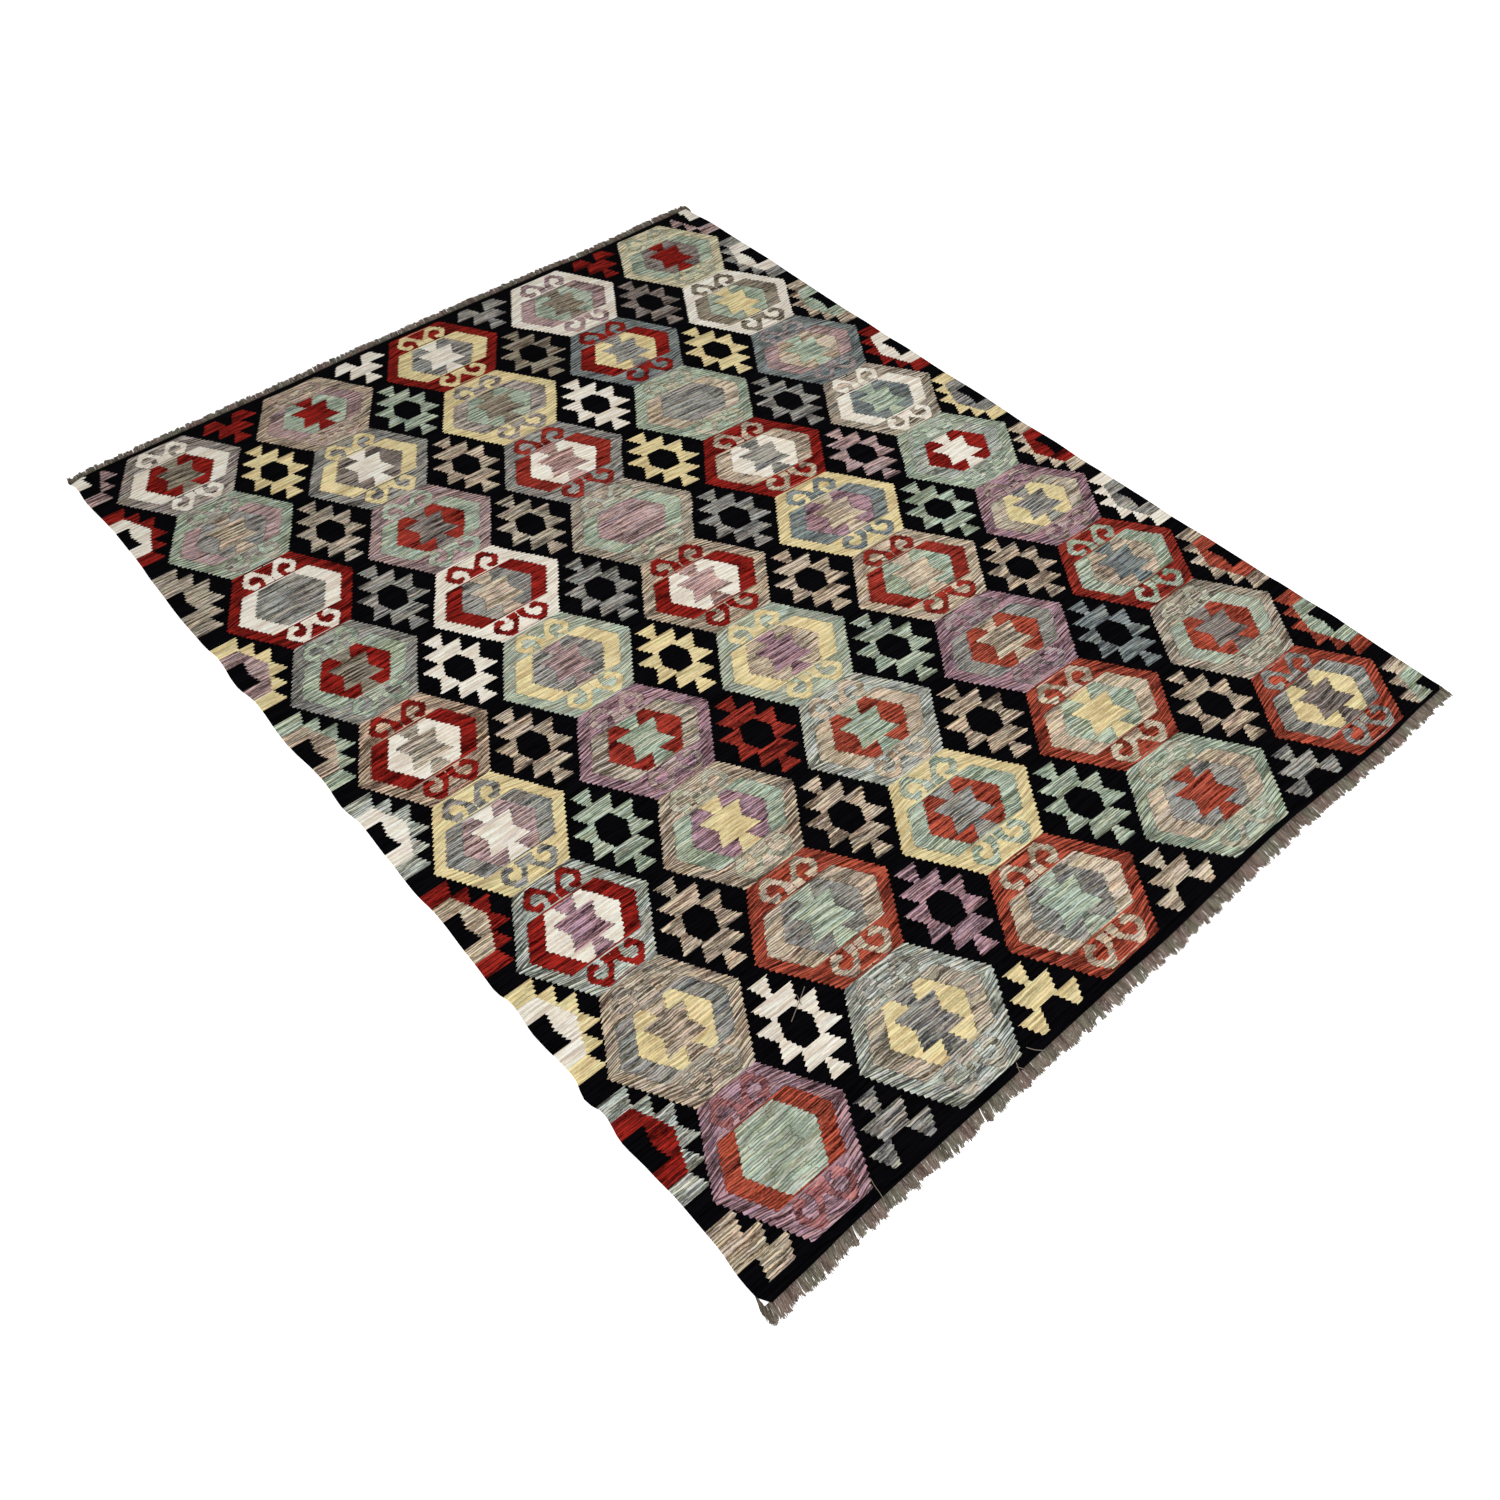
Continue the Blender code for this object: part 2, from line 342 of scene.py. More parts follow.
def column_middle(column, row):
    far, near = COLUMN_PLACES[column][0:2]
    return between(far, near, row / (ROWS - 1))


def cell_half(column, row):
    """Half a cell's real width. The medallion fills the same share of it everywhere."""
    far, near = COLUMN_PLACES[column][2:4]
    return between(far, near, row / (ROWS - 1)) * CELL_ACROSS / 2 / MEDALLION_HALF


def column_border(border, row):
    """The line between two columns, parted by how wide their medallions are."""
    if border == 0:
        return column_middle(0, row) - cell_half(0, row)
    if border == COLUMNS:
        return column_middle(COLUMNS - 1, row) + cell_half(COLUMNS - 1, row)
    left, right = column_middle(border - 1, row), column_middle(border, row)
    wide, other = cell_half(border - 1, row), cell_half(border, row)
    return between(left, right, wide / (wide + other))


def row_middle(column, row):
    middle, dip = ROW_PLACES[row]
    return middle + dip * DIP_SHARES[column]


def row_border(column, border):
    if border == 0:
        return FAR_BORDER[column]
    if border == ROWS:
        return NEAR_BORDER[column]
    return (row_middle(column, border - 1) + row_middle(column, border)) / 2


def lattice_along(across_line, along_line):
    """How far a crossing of two lattice lines lies from the far end. Odd lines pass through middles."""
    columns = [across_line // 2] if across_line % 2 else [across_line // 2 - 1, across_line // 2]
    columns = [min(max(column, 0), COLUMNS - 1) for column in columns]
    pick = row_middle if along_line % 2 else row_border
    values = [pick(column, along_line // 2) for column in columns]
    return sum(values) / len(values)


def lattice_across(across_line, along_line):
    """How far a crossing of two lattice lines lies from the left line."""
    row = (along_line - 1) / 2
    if across_line % 2:
        return column_middle(across_line // 2, row)
    return column_border(across_line // 2, row)


def lattice_place(across, along):
    """(x, y) of a place given in half cells, from the lattice's far left corner."""
    column = min(int(across), 2 * COLUMNS - 1)
    row = min(int(along), 2 * ROWS - 1)
    share_across, share_along = across - column, along - row
    corners = []
    for lattice_line in (lattice_across, lattice_along):
        far = between(lattice_line(column, row), lattice_line(column + 1, row), share_across)
        near = between(lattice_line(column, row + 1), lattice_line(column + 1, row + 1), share_across)
        corners.append(between(far, near, share_along))
    x = LEFT_LINE + corners[0]
    y = FAR_LINE - corners[1]
    broad = noise.noise_vector(Vector((x * 6, y * 6, 3.0)))
    fine = noise.noise_vector(Vector((x * 19, y * 19, 8.0)))
    stray = broad + fine / 2
    return x + stray.x * WANDER, y + stray.y * WANDER


# ---------------------------------------------------------------- the cloth's mesh


class Edges:
    """The cloth's four edges, read from the fixed frame."""

    def __init__(self, node):
        middle = CLOTH_THICKNESS / 2
        points = [v.co for v in node.data.vertices if abs(v.co.z - middle) < middle - EDGE_ROUND / 2]
        low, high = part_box("woven_cloth")
        inner = 0.03  # how far in from the box a point still counts as on that edge
        self.left = sorted({(p.y, p.x) for p in points if p.x < low.x + inner})
        self.right = sorted({(p.y, p.x) for p in points if p.x > high.x - inner})
        self.near = sorted({(p.x, p.y) for p in points if p.y < low.y + inner})
        self.far = sorted({(p.x, p.y) for p in points if p.y > high.y - inner})

    @staticmethod
    def at(line, place):
        """The edge's own coordinate at a place along it."""
        if place <= line[0][0]:
            return line[0][1]
        for start, stop in zip(line, line[1:]):
            if place <= stop[0]:
                return between(start[1], stop[1], (place - start[0]) / max(stop[0] - start[0], 1e-9))
        return line[-1][1]


def steps_with_margins(half_cells, steps):
    """Places in half cells along one way of the lattice, each with its share of the margin passed."""
    inside = [index / steps for index in range(half_cells * steps + 1)]
    before = [(0.0, (MARGIN_STEPS - index) / MARGIN_STEPS) for index in range(MARGIN_STEPS)]
    after = [(float(half_cells), (index + 1) / MARGIN_STEPS) for index in range(MARGIN_STEPS)]
    return before + [(place, 0.0) for place in inside] + after


def cloth_places(edges):
    """Rows of mesh points: (x, y) on the cloth, and (across, along) on the charted lattice, in metres."""
    columns = steps_with_margins(2 * COLUMNS, ACROSS_STEPS)
    rows = steps_with_margins(2 * ROWS, ALONG_STEPS)
    grid = []
    for along, out_along in rows:
        line = []
        for across, out_across in columns:
            x, y = lattice_place(across, along)
            chart_x, chart_y = across * CELL_ACROSS / 2, along * CELL_ALONG / 2
            edge_line = edges.far if along == 0 else edges.near
            side_line = edges.left if across == 0 else edges.right
            if out_across:
                side = edges.at(side_line, y)
                chart_x += (side - x) * out_across
                x = between(x, side, out_across)
            if out_along:
                end = edges.at(edge_line, x)
                chart_y -= (end - y) * out_along
                y = between(y, end, out_along)
            if out_across == 1.0 and out_along:
                x = edges.at(side_line, y)
            line.append((x, y, chart_x, chart_y))
        grid.append(line)
    return grid


def lift(x, y):
    """How far the cloth lies off the floor at a place: it is never quite flat."""
    broad = noise.noise(Vector((x * 3.1, y * 3.1, 1.0)))
    fine = noise.noise(Vector((x * 9.0, y * 9.0, 5.0)))
    return UNDULATION * max(0.0, broad + fine / 3)


class ClothMesh:
    """The closed cloth: an upper and a lower grid of the same places, and a rounded edge between them."""

    def __init__(self, grid):
        self.grid = grid
        self.points = []
        self.chart = []
        self.faces = []
        self.cells = []
        self.height = len(grid) - 1
        self.width = len(grid[0]) - 1

    def inset(self, row, column):
        """(x, y) of a point drawn in from the edge by the edge's round."""
        x, y = self.grid[row][column][0:2]
        if column in (0, self.width):
            x += EDGE_ROUND if column == 0 else -EDGE_ROUND
        if row in (0, self.height):
            y += -EDGE_ROUND if row == 0 else EDGE_ROUND
        return x, y

    def add_point(self, x, y, z, row, column):
        chart_x, chart_y = self.grid[row][column][2:4]
        self.points.append((x, y, z + lift(x, y)))
        self.chart.append((chart_x, chart_y, min(x - LEFT_LINE, RIGHT_LINE - x)))
        return len(self.points) - 1

    def cell_of(self, row, column):
        """The half cell that a face of the grid lies in, margins counted with the nearest one."""
        across = min(max(column - MARGIN_STEPS, 0) // ACROSS_STEPS, 2 * COLUMNS - 1)
        along = min(max(row - MARGIN_STEPS, 0) // ALONG_STEPS, 2 * ROWS - 1)
        return across, along

    def build_side(self, z, upward):
        """One grid of the cloth. Returns its points, row by row."""
        made = []
        for row in range(self.height + 1):
            made.append([])
            for column in range(self.width + 1):
                x, y = self.inset(row, column)
                made[row].append(self.add_point(x, y, z, row, column))
        for row in range(self.height):
            for column in range(self.width):
                face = [
                    made[row + 1][column],
                    made[row + 1][column + 1],
                    made[row][column + 1],
                    made[row][column],
                ]
                self.faces.append(face if upward else face[::-1])
                self.cells.append(self.cell_of(row, column))
        return made

    def rim(self):
        """Grid places once round the edge, anticlockwise from above, starting at the near left corner."""
        near = [(self.height, column) for column in range(self.width)]
        right = [(row, self.width) for row in range(self.height, 0, -1)]
        far = [(0, column) for column in range(self.width, 0, -1)]
        left = [(row, 0) for row in range(self.height)]
        return near + right + far + left

    def build(self):
        upper = self.build_side(CLOTH_THICKNESS, True)
        lower = self.build_side(0.0, False)
        rim = self.rim()
        rings = [[upper[row][column] for row, column in rim]]
        for z in (CLOTH_THICKNESS - EDGE_ROUND, EDGE_ROUND):
            ring = []
            for row, column in rim:
                x, y = self.grid[row][column][0:2]
                ring.append(self.add_point(x, y, z, row, column))
            rings.append(ring)
        rings.append([lower[row][column] for row, column in rim])
        for above, below in zip(rings, rings[1:]):
            for index in range(len(rim)):
                after = (index + 1) % len(rim)
                self.faces.append([above[index], below[index], below[after], above[after]])
                row, column = min(rim[index], rim[after])
                row = min(row, self.height - 1)
                column = min(column, self.width - 1)
                self.cells.append(self.cell_of(row, column))
        return self


def wools_of(across, along):
    """The wools that meet in one half cell, and what kind of half cell it is."""
    column, row = across // 2, along // 2
    letters = MEDALLION_WOOLS[row].split()[column]
    medallion = [dye_index(letter.upper()) for letter in letters]
    if medallion[3] < 0:
        medallion[3] = medallion[2]
    star_line, star_row = (across + 1) // 2, (along + 1) // 2
    beside_selvedge = star_line in (0, COLUMNS)
    if beside_selvedge:
        teeth, rings = (LEFT_TEETH, LEFT_RINGS) if star_line == 0 else (RIGHT_TEETH, RIGHT_RINGS)
        star, inner = dye_index(teeth[star_row]), dye_index(rings[star_row])
    else:
        star, inner = dye_index(STAR_WOOLS[star_line - 1][star_row]), 0
    return {
        "medallion_wools": medallion[0:3],
        "star_wools": (medallion[3], star, inner),
        "cell_kind": (float(beside_selvedge), float(star_row == 0), star_seed(star_line, star_row)),
        "hooks_kind": (float(letters[1].islower()), 0.0, 0.0),
    }


def cell_seed(column, row):
    return random.Random(column * 97 + row * 31).uniform(0.0, 10.0)


def star_seed(column, row):
    """A star's own seed, from columns numbered clear of the cells' own."""
    return cell_seed(column + 20, row)


def write_attributes(mesh, cloth):
    """Puts the chart on the mesh: charted places on its points, and wools and cells on its faces."""
    place = mesh.attributes.new("chart_place", "FLOAT_VECTOR", "POINT")
    place.data.foreach_set("vector", [value for point in cloth.chart for value in point])
    columns = {"chart_cell": []}
    for across, along in cloth.cells:
        middle_x = (across // 2 + 0.5) * CELL_ACROSS
        middle_y = (along // 2 + 0.5) * CELL_ALONG
        columns["chart_cell"].extend((middle_x, middle_y, cell_seed(across // 2, along // 2)))
        for name, values in wools_of(across, along).items():
            columns.setdefault(name, []).extend(values)
    for name, values in columns.items():
        attribute = mesh.attributes.new(name, "FLOAT_VECTOR", "FACE")
        attribute.data.foreach_set("vector", values)


def write_bake_map(mesh):
    """A plan map for the baked picture: both sides share it, and the edge's rounds are laid out past it."""
    low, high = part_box("woven_cloth")
    spare = 3 * CLOTH_THICKNESS
    layer = mesh.uv_layers.new(name="OFBake")
    for polygon in mesh.polygons:
        for loop in polygon.loop_indices:
            point = mesh.vertices[mesh.loops[loop].vertex_index].co
            x, y = point.x, point.y
            if abs(polygon.normal.z) < LEVEL_FACE:
                depth = CLOTH_THICKNESS - point.z
                x += depth * (1 if polygon.normal.x > 0 else -1) * abs(polygon.normal.x)
                y += depth * (1 if polygon.normal.y > 0 else -1) * abs(polygon.normal.y)
            u = (x - low.x + spare) / (high.x - low.x + 2 * spare)
            v = (y - low.y + spare) / (high.y - low.y + 2 * spare)
            layer.data[loop].uv = (u, v)


def new_piece(name, mesh, material):
    """A finished piece at the origin, in its one material."""
    piece = bpy.data.objects.new(name, mesh)
    bpy.context.scene.collection.objects.link(piece)
    mesh.materials.clear()
    mesh.materials.append(material)
    return piece


def make_cloth(edges, material):
    noise.seed_set(WANDER_SEED)
    cloth = ClothMesh(cloth_places(edges)).build()
    mesh = bpy.data.meshes.new("kilim_weave")
    mesh.from_pydata(cloth.points, [], cloth.faces)
    mesh.update()
    write_attributes(mesh, cloth)
    write_bake_map(mesh)
    for polygon in mesh.polygons:
        polygon.use_smooth = abs(polygon.normal.z) > LEVEL_FACE
    return new_piece("kilim_weave", mesh, material)


# ---------------------------------------------------------------- building node trees


class Wires:
    """Adds nodes to one tree. Wherever a value is asked for, a number, a vector or a socket will do."""

    def __init__(self, tree):
        self.tree = tree

    def node(self, kind, **settings):
        made = self.tree.nodes.new(kind)
        for name, value in settings.items():
            setattr(made, name, value)
        return made

    def put(self, socket, value):
        if isinstance(value, bpy.types.NodeSocket):
            self.tree.links.new(value, socket)
        else:
            socket.default_value = value

    def math(self, operation, *values):
        made = self.node("ShaderNodeMath", operation=operation)
        for socket, value in zip(made.inputs, values):
            self.put(socket, value)
        return made.outputs[0]

    def add(self, first, second):
        return self.math("ADD", first, second)

    def less(self, first, second):
        return self.math("SUBTRACT", first, second)

    def times(self, *values):
        total = values[0]
        for value in values[1:]:
            total = self.math("MULTIPLY", total, value)
        return total

    def below(self, first, second):
        return self.math("LESS_THAN", first, second)

    def above(self, first, second):
        return self.math("GREATER_THAN", first, second)

    def opposite(self, value):
        return self.math("SUBTRACT", 1.0, value)

    def blend(self, share, first, second):
        """The first value where share is 0 and the second where it is 1."""
        made = self.node("ShaderNodeMix", data_type="FLOAT", clamp_factor=True)
        self.put(made.inputs[0], share)
        self.put(made.inputs[2], first)
        self.put(made.inputs[3], second)
        return made.outputs[0]

    def blend_colours(self, share, first, second, mode="MIX"):
        made = self.node("ShaderNodeMix", data_type="RGBA", blend_type=mode, clamp_factor=True)
        self.put(made.inputs[0], share)
        self.put(made.inputs[6], first)
        self.put(made.inputs[7], second)
        return made.outputs[2]

    def grade(self, value, low, high, to_low=0.0, to_high=1.0):
        """A value graded smoothly from one range to another, and held at its ends."""
        made = self.node("ShaderNodeMapRange", interpolation_type="SMOOTHSTEP")
        for socket, number in zip(made.inputs, (value, low, high, to_low, to_high)):
            self.put(socket, number)
        return made.outputs[0]

    def vector(self, x, y, z=0.0):
        made = self.node("ShaderNodeCombineXYZ")
        for socket, value in zip(made.inputs, (x, y, z)):
            self.put(socket, value)
        return made.outputs[0]

    def parts(self, vector):
        made = self.node("ShaderNodeSeparateXYZ")
        self.put(made.inputs[0], vector)
        return made.outputs[0], made.outputs[1], made.outputs[2]

    def cloud(self, vector, detail=1.0):
        """Smooth noise, about a half."""
        made = self.node("ShaderNodeTexNoise")
        self.put(made.inputs["Vector"], vector)
        made.inputs["Scale"].default_value = 1.0
        made.inputs["Detail"].default_value = detail
        return made.outputs[0]

    def waves(self, x, x_rate, y, y_rate, salt=0.0, detail=1.0):
        """Smooth noise, about a half, with so many waves to a metre each way."""
        return self.cloud(self.vector(self.times(x, x_rate), self.times(y, y_rate), salt), detail)

    def dice(self, vector):
        """An unrelated value from 0 to 1 for every different vector."""
        made = self.node("ShaderNodeTexWhiteNoise", noise_dimensions="3D")
        self.put(made.inputs["Vector"], vector)
        return made.outputs[0]

    def attribute(self, name, output="Vector"):
        made = self.node("ShaderNodeAttribute", attribute_name=name, attribute_type="GEOMETRY")
        return made.outputs[output]

    def group(self, tree, **values):
        """A group's node, with its inputs set by name. An underscore stands for a space."""
        made = self.node("ShaderNodeGroup", node_tree=tree)
        for name, value in values.items():
            self.put(made.inputs[name.replace("_", " ")], value)
        return made.outputs


def new_group(name, inputs, outputs):
    """An empty shader group with named sockets. Returns its tree, its wires and what goes in and out."""
    tree = bpy.data.node_groups.new(name, "ShaderNodeTree")
    for socket_name, kind in inputs:
        tree.interface.new_socket(socket_name, in_out="INPUT", socket_type=kind)
    for socket_name, kind in outputs:
        tree.interface.new_socket(socket_name, in_out="OUTPUT", socket_type=kind)
    wires = Wires(tree)
    entry = wires.node("NodeGroupInput").outputs
    leave = wires.node("NodeGroupOutput").inputs
    return tree, wires, entry, leave


FLOAT = "NodeSocketFloat"
VECTOR = "NodeSocketVector"
COLOUR = "NodeSocketColor"


def ramp(wires, stops, value):
    """A colour ramp that holds each colour until the next stop."""
    made = wires.node("ShaderNodeValToRGB")
    made.color_ramp.interpolation = "CONSTANT"
    elements = made.color_ramp.elements
    while len(elements) > 1:
        elements.remove(elements[-1])
    elements[0].position, elements[0].color = stops[0]
    for place, colour in stops[1:]:
        element = elements.new(place)
        element.color = colour
    wires.put(made.inputs[0], value)
    return made.outputs


# ---------------------------------------------------------------- the chart as shader groups


def tiered(wires, figure, along, teeth):
    """Which tier of a figure a place is in, how far out in that tier, and the figure's half width there."""
    height, half, draw_in, widening, fading = TIERED[figure]
    ratio = wires.math("DIVIDE", along, height)
    tier = wires.math("FLOOR", ratio)
    share = wires.less(ratio, tier)
    start = wires.less(wires.add(half, teeth), wires.times(tier, draw_in))
    reach = wires.times(wires.less(widening, wires.times(tier, fading)), share)
    return tier, share, wires.add(start, reach)


def first_tiers(wires, tier, count):
    """A mask of a figure's innermost tiers, so many of them."""
    return wires.below(tier, count - 0.5)


def teeth_group():
    """The saw teeth of every outline: how far each place on one stands out, and where its slits open."""
    tree, wires, entry, leave = new_group(
        "saw teeth", [("Along Rug", FLOAT), ("Seed", FLOAT)], [("Depth", FLOAT), ("Slit Place", FLOAT)]
    )
    place = wires.math("DIVIDE", entry[0], TOOTH)
    number = wires.math("FLOOR", place)
    part = wires.less(place, number)
    growing = wires.math("DIVIDE", part, TOOTH_RISE)
    dropping = wires.math("DIVIDE", wires.opposite(part), 1.0 - TOOTH_RISE)
    out = wires.less(wires.math("MINIMUM", growing, dropping), 0.5)
    uneven = wires.less(wires.dice(wires.vector(number, entry[1], 1.0)), 0.5)
    wires.put(leave[0], wires.add(wires.times(out, TOOTH_DEPTH), wires.times(uneven, TOOTH_UNEVEN)))
    patchy = wires.above(wires.dice(wires.vector(number, entry[1], 7.0)), SLIT_FREE)
    opening, closing = SLIT_PART
    wires.put(leave[1], wires.times(patchy, wires.above(part, opening), wires.below(part, closing)))
    return tree


def hook_masks(wires, across, along):
    """Where the hooks' wool shows, charted row by row above the middle band, and where slits edge it."""
    span = HOOK_SPAN * MM
    height = wires.times(wires.less(along, BAND_HALF), 1 / span)
    run = wires.times(across, 1 / span)
    stops = [(row[0] / HOOK_SPAN, [value / HOOK_SPAN for value in row[1:]]) for row in HOOK_ROWS]
    chart = ramp(wires, stops, height)
    made = wires.node("ShaderNodeSeparateColor")
    wires.put(made.inputs[0], chart[0])
    above_band = wires.above(height, 0.0)
    hooks, edge = 0.0, 0.0
    for start, stop in ((made.outputs[0], made.outputs[1]), (made.outputs[2], chart[1])):
        run_mask = wires.times(wires.above(run, start), wires.below(run, stop))
        hooks = wires.math("MAXIMUM", hooks, run_mask)
        for end in (start, stop):
            nearness = wires.times(wires.math("ABSOLUTE", wires.less(run, end)), span)
            off_middle = wires.above(end, 0.06)
            beside = wires.times(wires.grade(nearness, *HOOK_SLIT), off_middle)
            edge = wires.math("MAXIMUM", edge, beside)
    return wires.times(hooks, above_band), wires.times(edge, above_band)


def medallion_group():
    """One quarter of a medallion: masks of its border, ring, core, heart and hooks, and its slits."""
    masks = ("Border", "Ring", "Core", "Heart", "Hooks", "Slit", "From Outline")
    tree, wires, entry, leave = new_group(
        "medallion chart",
        [(name, FLOAT) for name in ("Across", "Along", "Seed", "Teeth", "Slit Place")],
        [(name, FLOAT) for name in masks],
    )
    across, along, seed, teeth, slit_place = entry[0], entry[1], entry[2], entry[3], entry[4]
    mean_outline = wires.less(WAIST_REACH, wires.times(along, DRAW_IN))
    outline = wires.add(mean_outline, teeth)
    border = wires.times(wires.below(across, outline), wires.below(along, CELL_ALONG / 2))
    band = wires.below(along, BAND_HALF)
    ring_edge = wires.less(outline, RING_IN)
    core_edge = wires.less(outline, CORE_IN)
    last_weft = wires.above(along, BAND_HALF - LAST_WEFT)
    ring = wires.times(band, wires.below(across, ring_edge))
    core = wires.times(band, wires.below(across, core_edge), wires.opposite(last_weft))
    _, _, heart_edge = tiered(wires, "heart", along, teeth)
    heart = wires.times(core, wires.below(across, heart_edge))
    joins = 0.0
    for edge in (ring_edge, core_edge, heart_edge):
        nearness = wires.math("ABSOLUTE", wires.less(across, edge))
        joins = wires.math("MAXIMUM", joins, wires.grade(nearness, *JOIN_SLIT))
    slit = wires.times(joins, slit_place, band)
    shifted = wires.less(wires.dice(wires.vector(seed, 5.0, 2.0)), 0.5)
    hook_across = wires.add(across, wires.times(shifted, HOOK_SHIFT))
    hook_across = wires.less(hook_across, wires.times(teeth, HOOK_TEETH))
    hooks, hook_edges = hook_masks(wires, hook_across, along)
    hooks = wires.times(hooks, border)
    slit = wires.math("MAXIMUM", slit, wires.times(hook_edges, border, slit_place))
    from_outline = wires.less(mean_outline, across)
    for socket, value in zip(leave, (border, ring, core, heart, hooks, slit, from_outline)):
        wires.put(socket, value)
    return tree


def star_group():
    """One quarter of a whole star between two columns. At the far end its hole is narrower."""
    tree, wires, entry, leave = new_group(
        "corner star chart",
        [(name, FLOAT) for name in ("Across", "Along", "Teeth", "At Far End")],
        [("Star", FLOAT)],
    )
    across, along, teeth, at_end = entry[0], entry[1], entry[2], entry[3]
    tier, share, edge = tiered(wires, "star", along, teeth)
    hole_edge = wires.less(STAR_HOLE, wires.times(share, STAR_HOLE_DRAW_IN))
    hole_edge = wires.less(hole_edge, wires.times(at_end, STAR_HOLE_AT_END))
    hole_edge = wires.add(hole_edge, wires.times(teeth, STAR_HOLE_TEETH))
    hole = wires.times(first_tiers(wires, tier, 1), wires.below(across, hole_edge))
    tiers = first_tiers(wires, tier, STAR_TIERS)
    star = wires.times(wires.below(across, edge), wires.above(along, 0.0), tiers)
    wires.put(leave[0], wires.times(star, wires.opposite(hole)))
    return tree


def half_star_group():
    """Half a star cut by a selvedge: masks of its teeth and of the ring inside them."""
    tree, wires, entry, leave = new_group(
        "selvedge star chart",
        [(name, FLOAT) for name in ("From Selvedge", "Along", "Teeth", "At Far End")],
        [("Teeth", FLOAT), ("Ring", FLOAT)],
    )
    across, along, teeth, at_end = entry[0], entry[1], entry[2], entry[3]
    tier, share, edge = tiered(wires, "half star", along, teeth)
    tiers = first_tiers(wires, tier, STAR_TIERS)
    inside = wires.times(wires.below(across, edge), wires.above(along, 0.0), tiers)
    ring_edge = wires.less(wires.add(SIDE_RING, teeth), wires.times(along, SIDE_RING_DRAW_IN))
    ring_tiers = first_tiers(wires, tier, SIDE_RING_TIERS)
    ring = wires.times(inside, wires.below(across, ring_edge), ring_tiers)
    hole_edge = wires.add(wires.add(SIDE_HOLE, teeth), wires.times(share, SIDE_HOLE_WIDENING))
    hole = wires.times(wires.below(across, hole_edge), first_tiers(wires, tier, 1))
    whole_ring = wires.times(ring, wires.opposite(hole))
    wires.put(leave[0], wires.times(inside, wires.opposite(ring)))
    wires.put(leave[1], wires.blend(at_end, whole_ring, hole))
    return tree


# ---------------------------------------------------------------- wool and weave as shader groups


def streak_group():
    """Uneven yarn: each pick of weft wavers on its way, in its own tone, and some lie in a dark furrow."""
    tree, wires, entry, leave = new_group(
        "weft streaks",
        [("Place", VECTOR), ("Patch", FLOAT), ("Slant", FLOAT)],
        [("Tone", FLOAT), ("Furrow", FLOAT), ("Waver", FLOAT), ("Warm", FLOAT), ("Green", FLOAT)],
    )
    x, y, _ = wires.parts(entry[0])
    patch = entry[1]
    shift = 0.0
    for across_rate, along_rate, depth in SWINGS:
        swing = wires.waves(x, across_rate, y, along_rate, patch)
        shift = wires.add(shift, wires.times(wires.less(swing, 0.5), depth))
    weft = wires.add(wires.add(y, shift), entry[2])

    tone = 0.0
    for pitch, rate, weight in PICKS:
        pick = wires.math("FLOOR", wires.math("DIVIDE", weft, pitch))
        value = wires.waves(x, rate, pick, 2.37, patch)
        tone = wires.add(tone, wires.times(value, weight))
    pick = wires.math("FLOOR", wires.math("DIVIDE", weft, PICKS[0][0]))
    along_pick = wires.add(x, wires.times(pick, BEAD / 2))
    bead = wires.math("FLOOR", wires.math("DIVIDE", along_pick, BEAD))
    grain = wires.times(wires.less(wires.dice(wires.vector(bead, pick, patch)), 0.5), GRAIN)
    from_dive = wires.math("PINGPONG", along_pick, BEAD / 2)
    # Painted shade where a pick dives under the warps, taken off its tone below.
    dive = wires.grade(from_dive, *DIVE_EDGE, 0.0, DIVE_SHADE)
    wires.put(leave[0], wires.less(wires.add(wires.grade(tone, *PICK_NOISE), grain), dive))

    row = wires.math("DIVIDE", weft, FURROW_PITCH)
    number = wires.math("ROUND", row)
    off_line = wires.times(wires.math("ABSOLUTE", wires.less(row, number)), FURROW_PITCH)
    broken = wires.waves(x, 20.0, number, 3.17, wires.add(patch, 30.0))
    thick = wires.grade(broken, *FURROW_NOISE, 0.0, FURROW_HALF)
    fading, core = wires.add(thick, FURROW_SOFT), wires.times(thick, FURROW_CORE)
    wires.put(leave[1], wires.grade(off_line, fading, core))
    wires.put(leave[2], shift)
    for outlet, salt in ((3, 40.0), (4, 50.0)):
        lot = wires.waves(x, 14.0, number, 2.71, wires.add(patch, salt))
        wires.put(leave[outlet], wires.grade(lot, *LOT_NOISE))
    return tree


def wool_group():
    """A dye by its number, from its darkest picks to its lightest, and how deep its painted furrow shade
    is.
    """
    tree, wires, entry, leave = new_group(
        "dyed wool", [("Dye", FLOAT), ("Tone", FLOAT)], [("Colour", COLOUR), ("Furrow Depth", FLOAT)]
    )
    number = wires.times(wires.add(entry[0], 0.5), 1 / DYE_STOPS)
    shades = []
    for column in (2, 3):
        stops = []
        for index, dye in enumerate(DYES):
            stops.append((index / DYE_STOPS, wool_colour(dye[column], dye[4])))
        shades.append(ramp(wires, stops, number))
    wires.put(leave[0], wires.blend_colours(entry[1], shades[0][0], shades[1][0]))
    wires.put(leave[1], shades[0][1])
    return tree


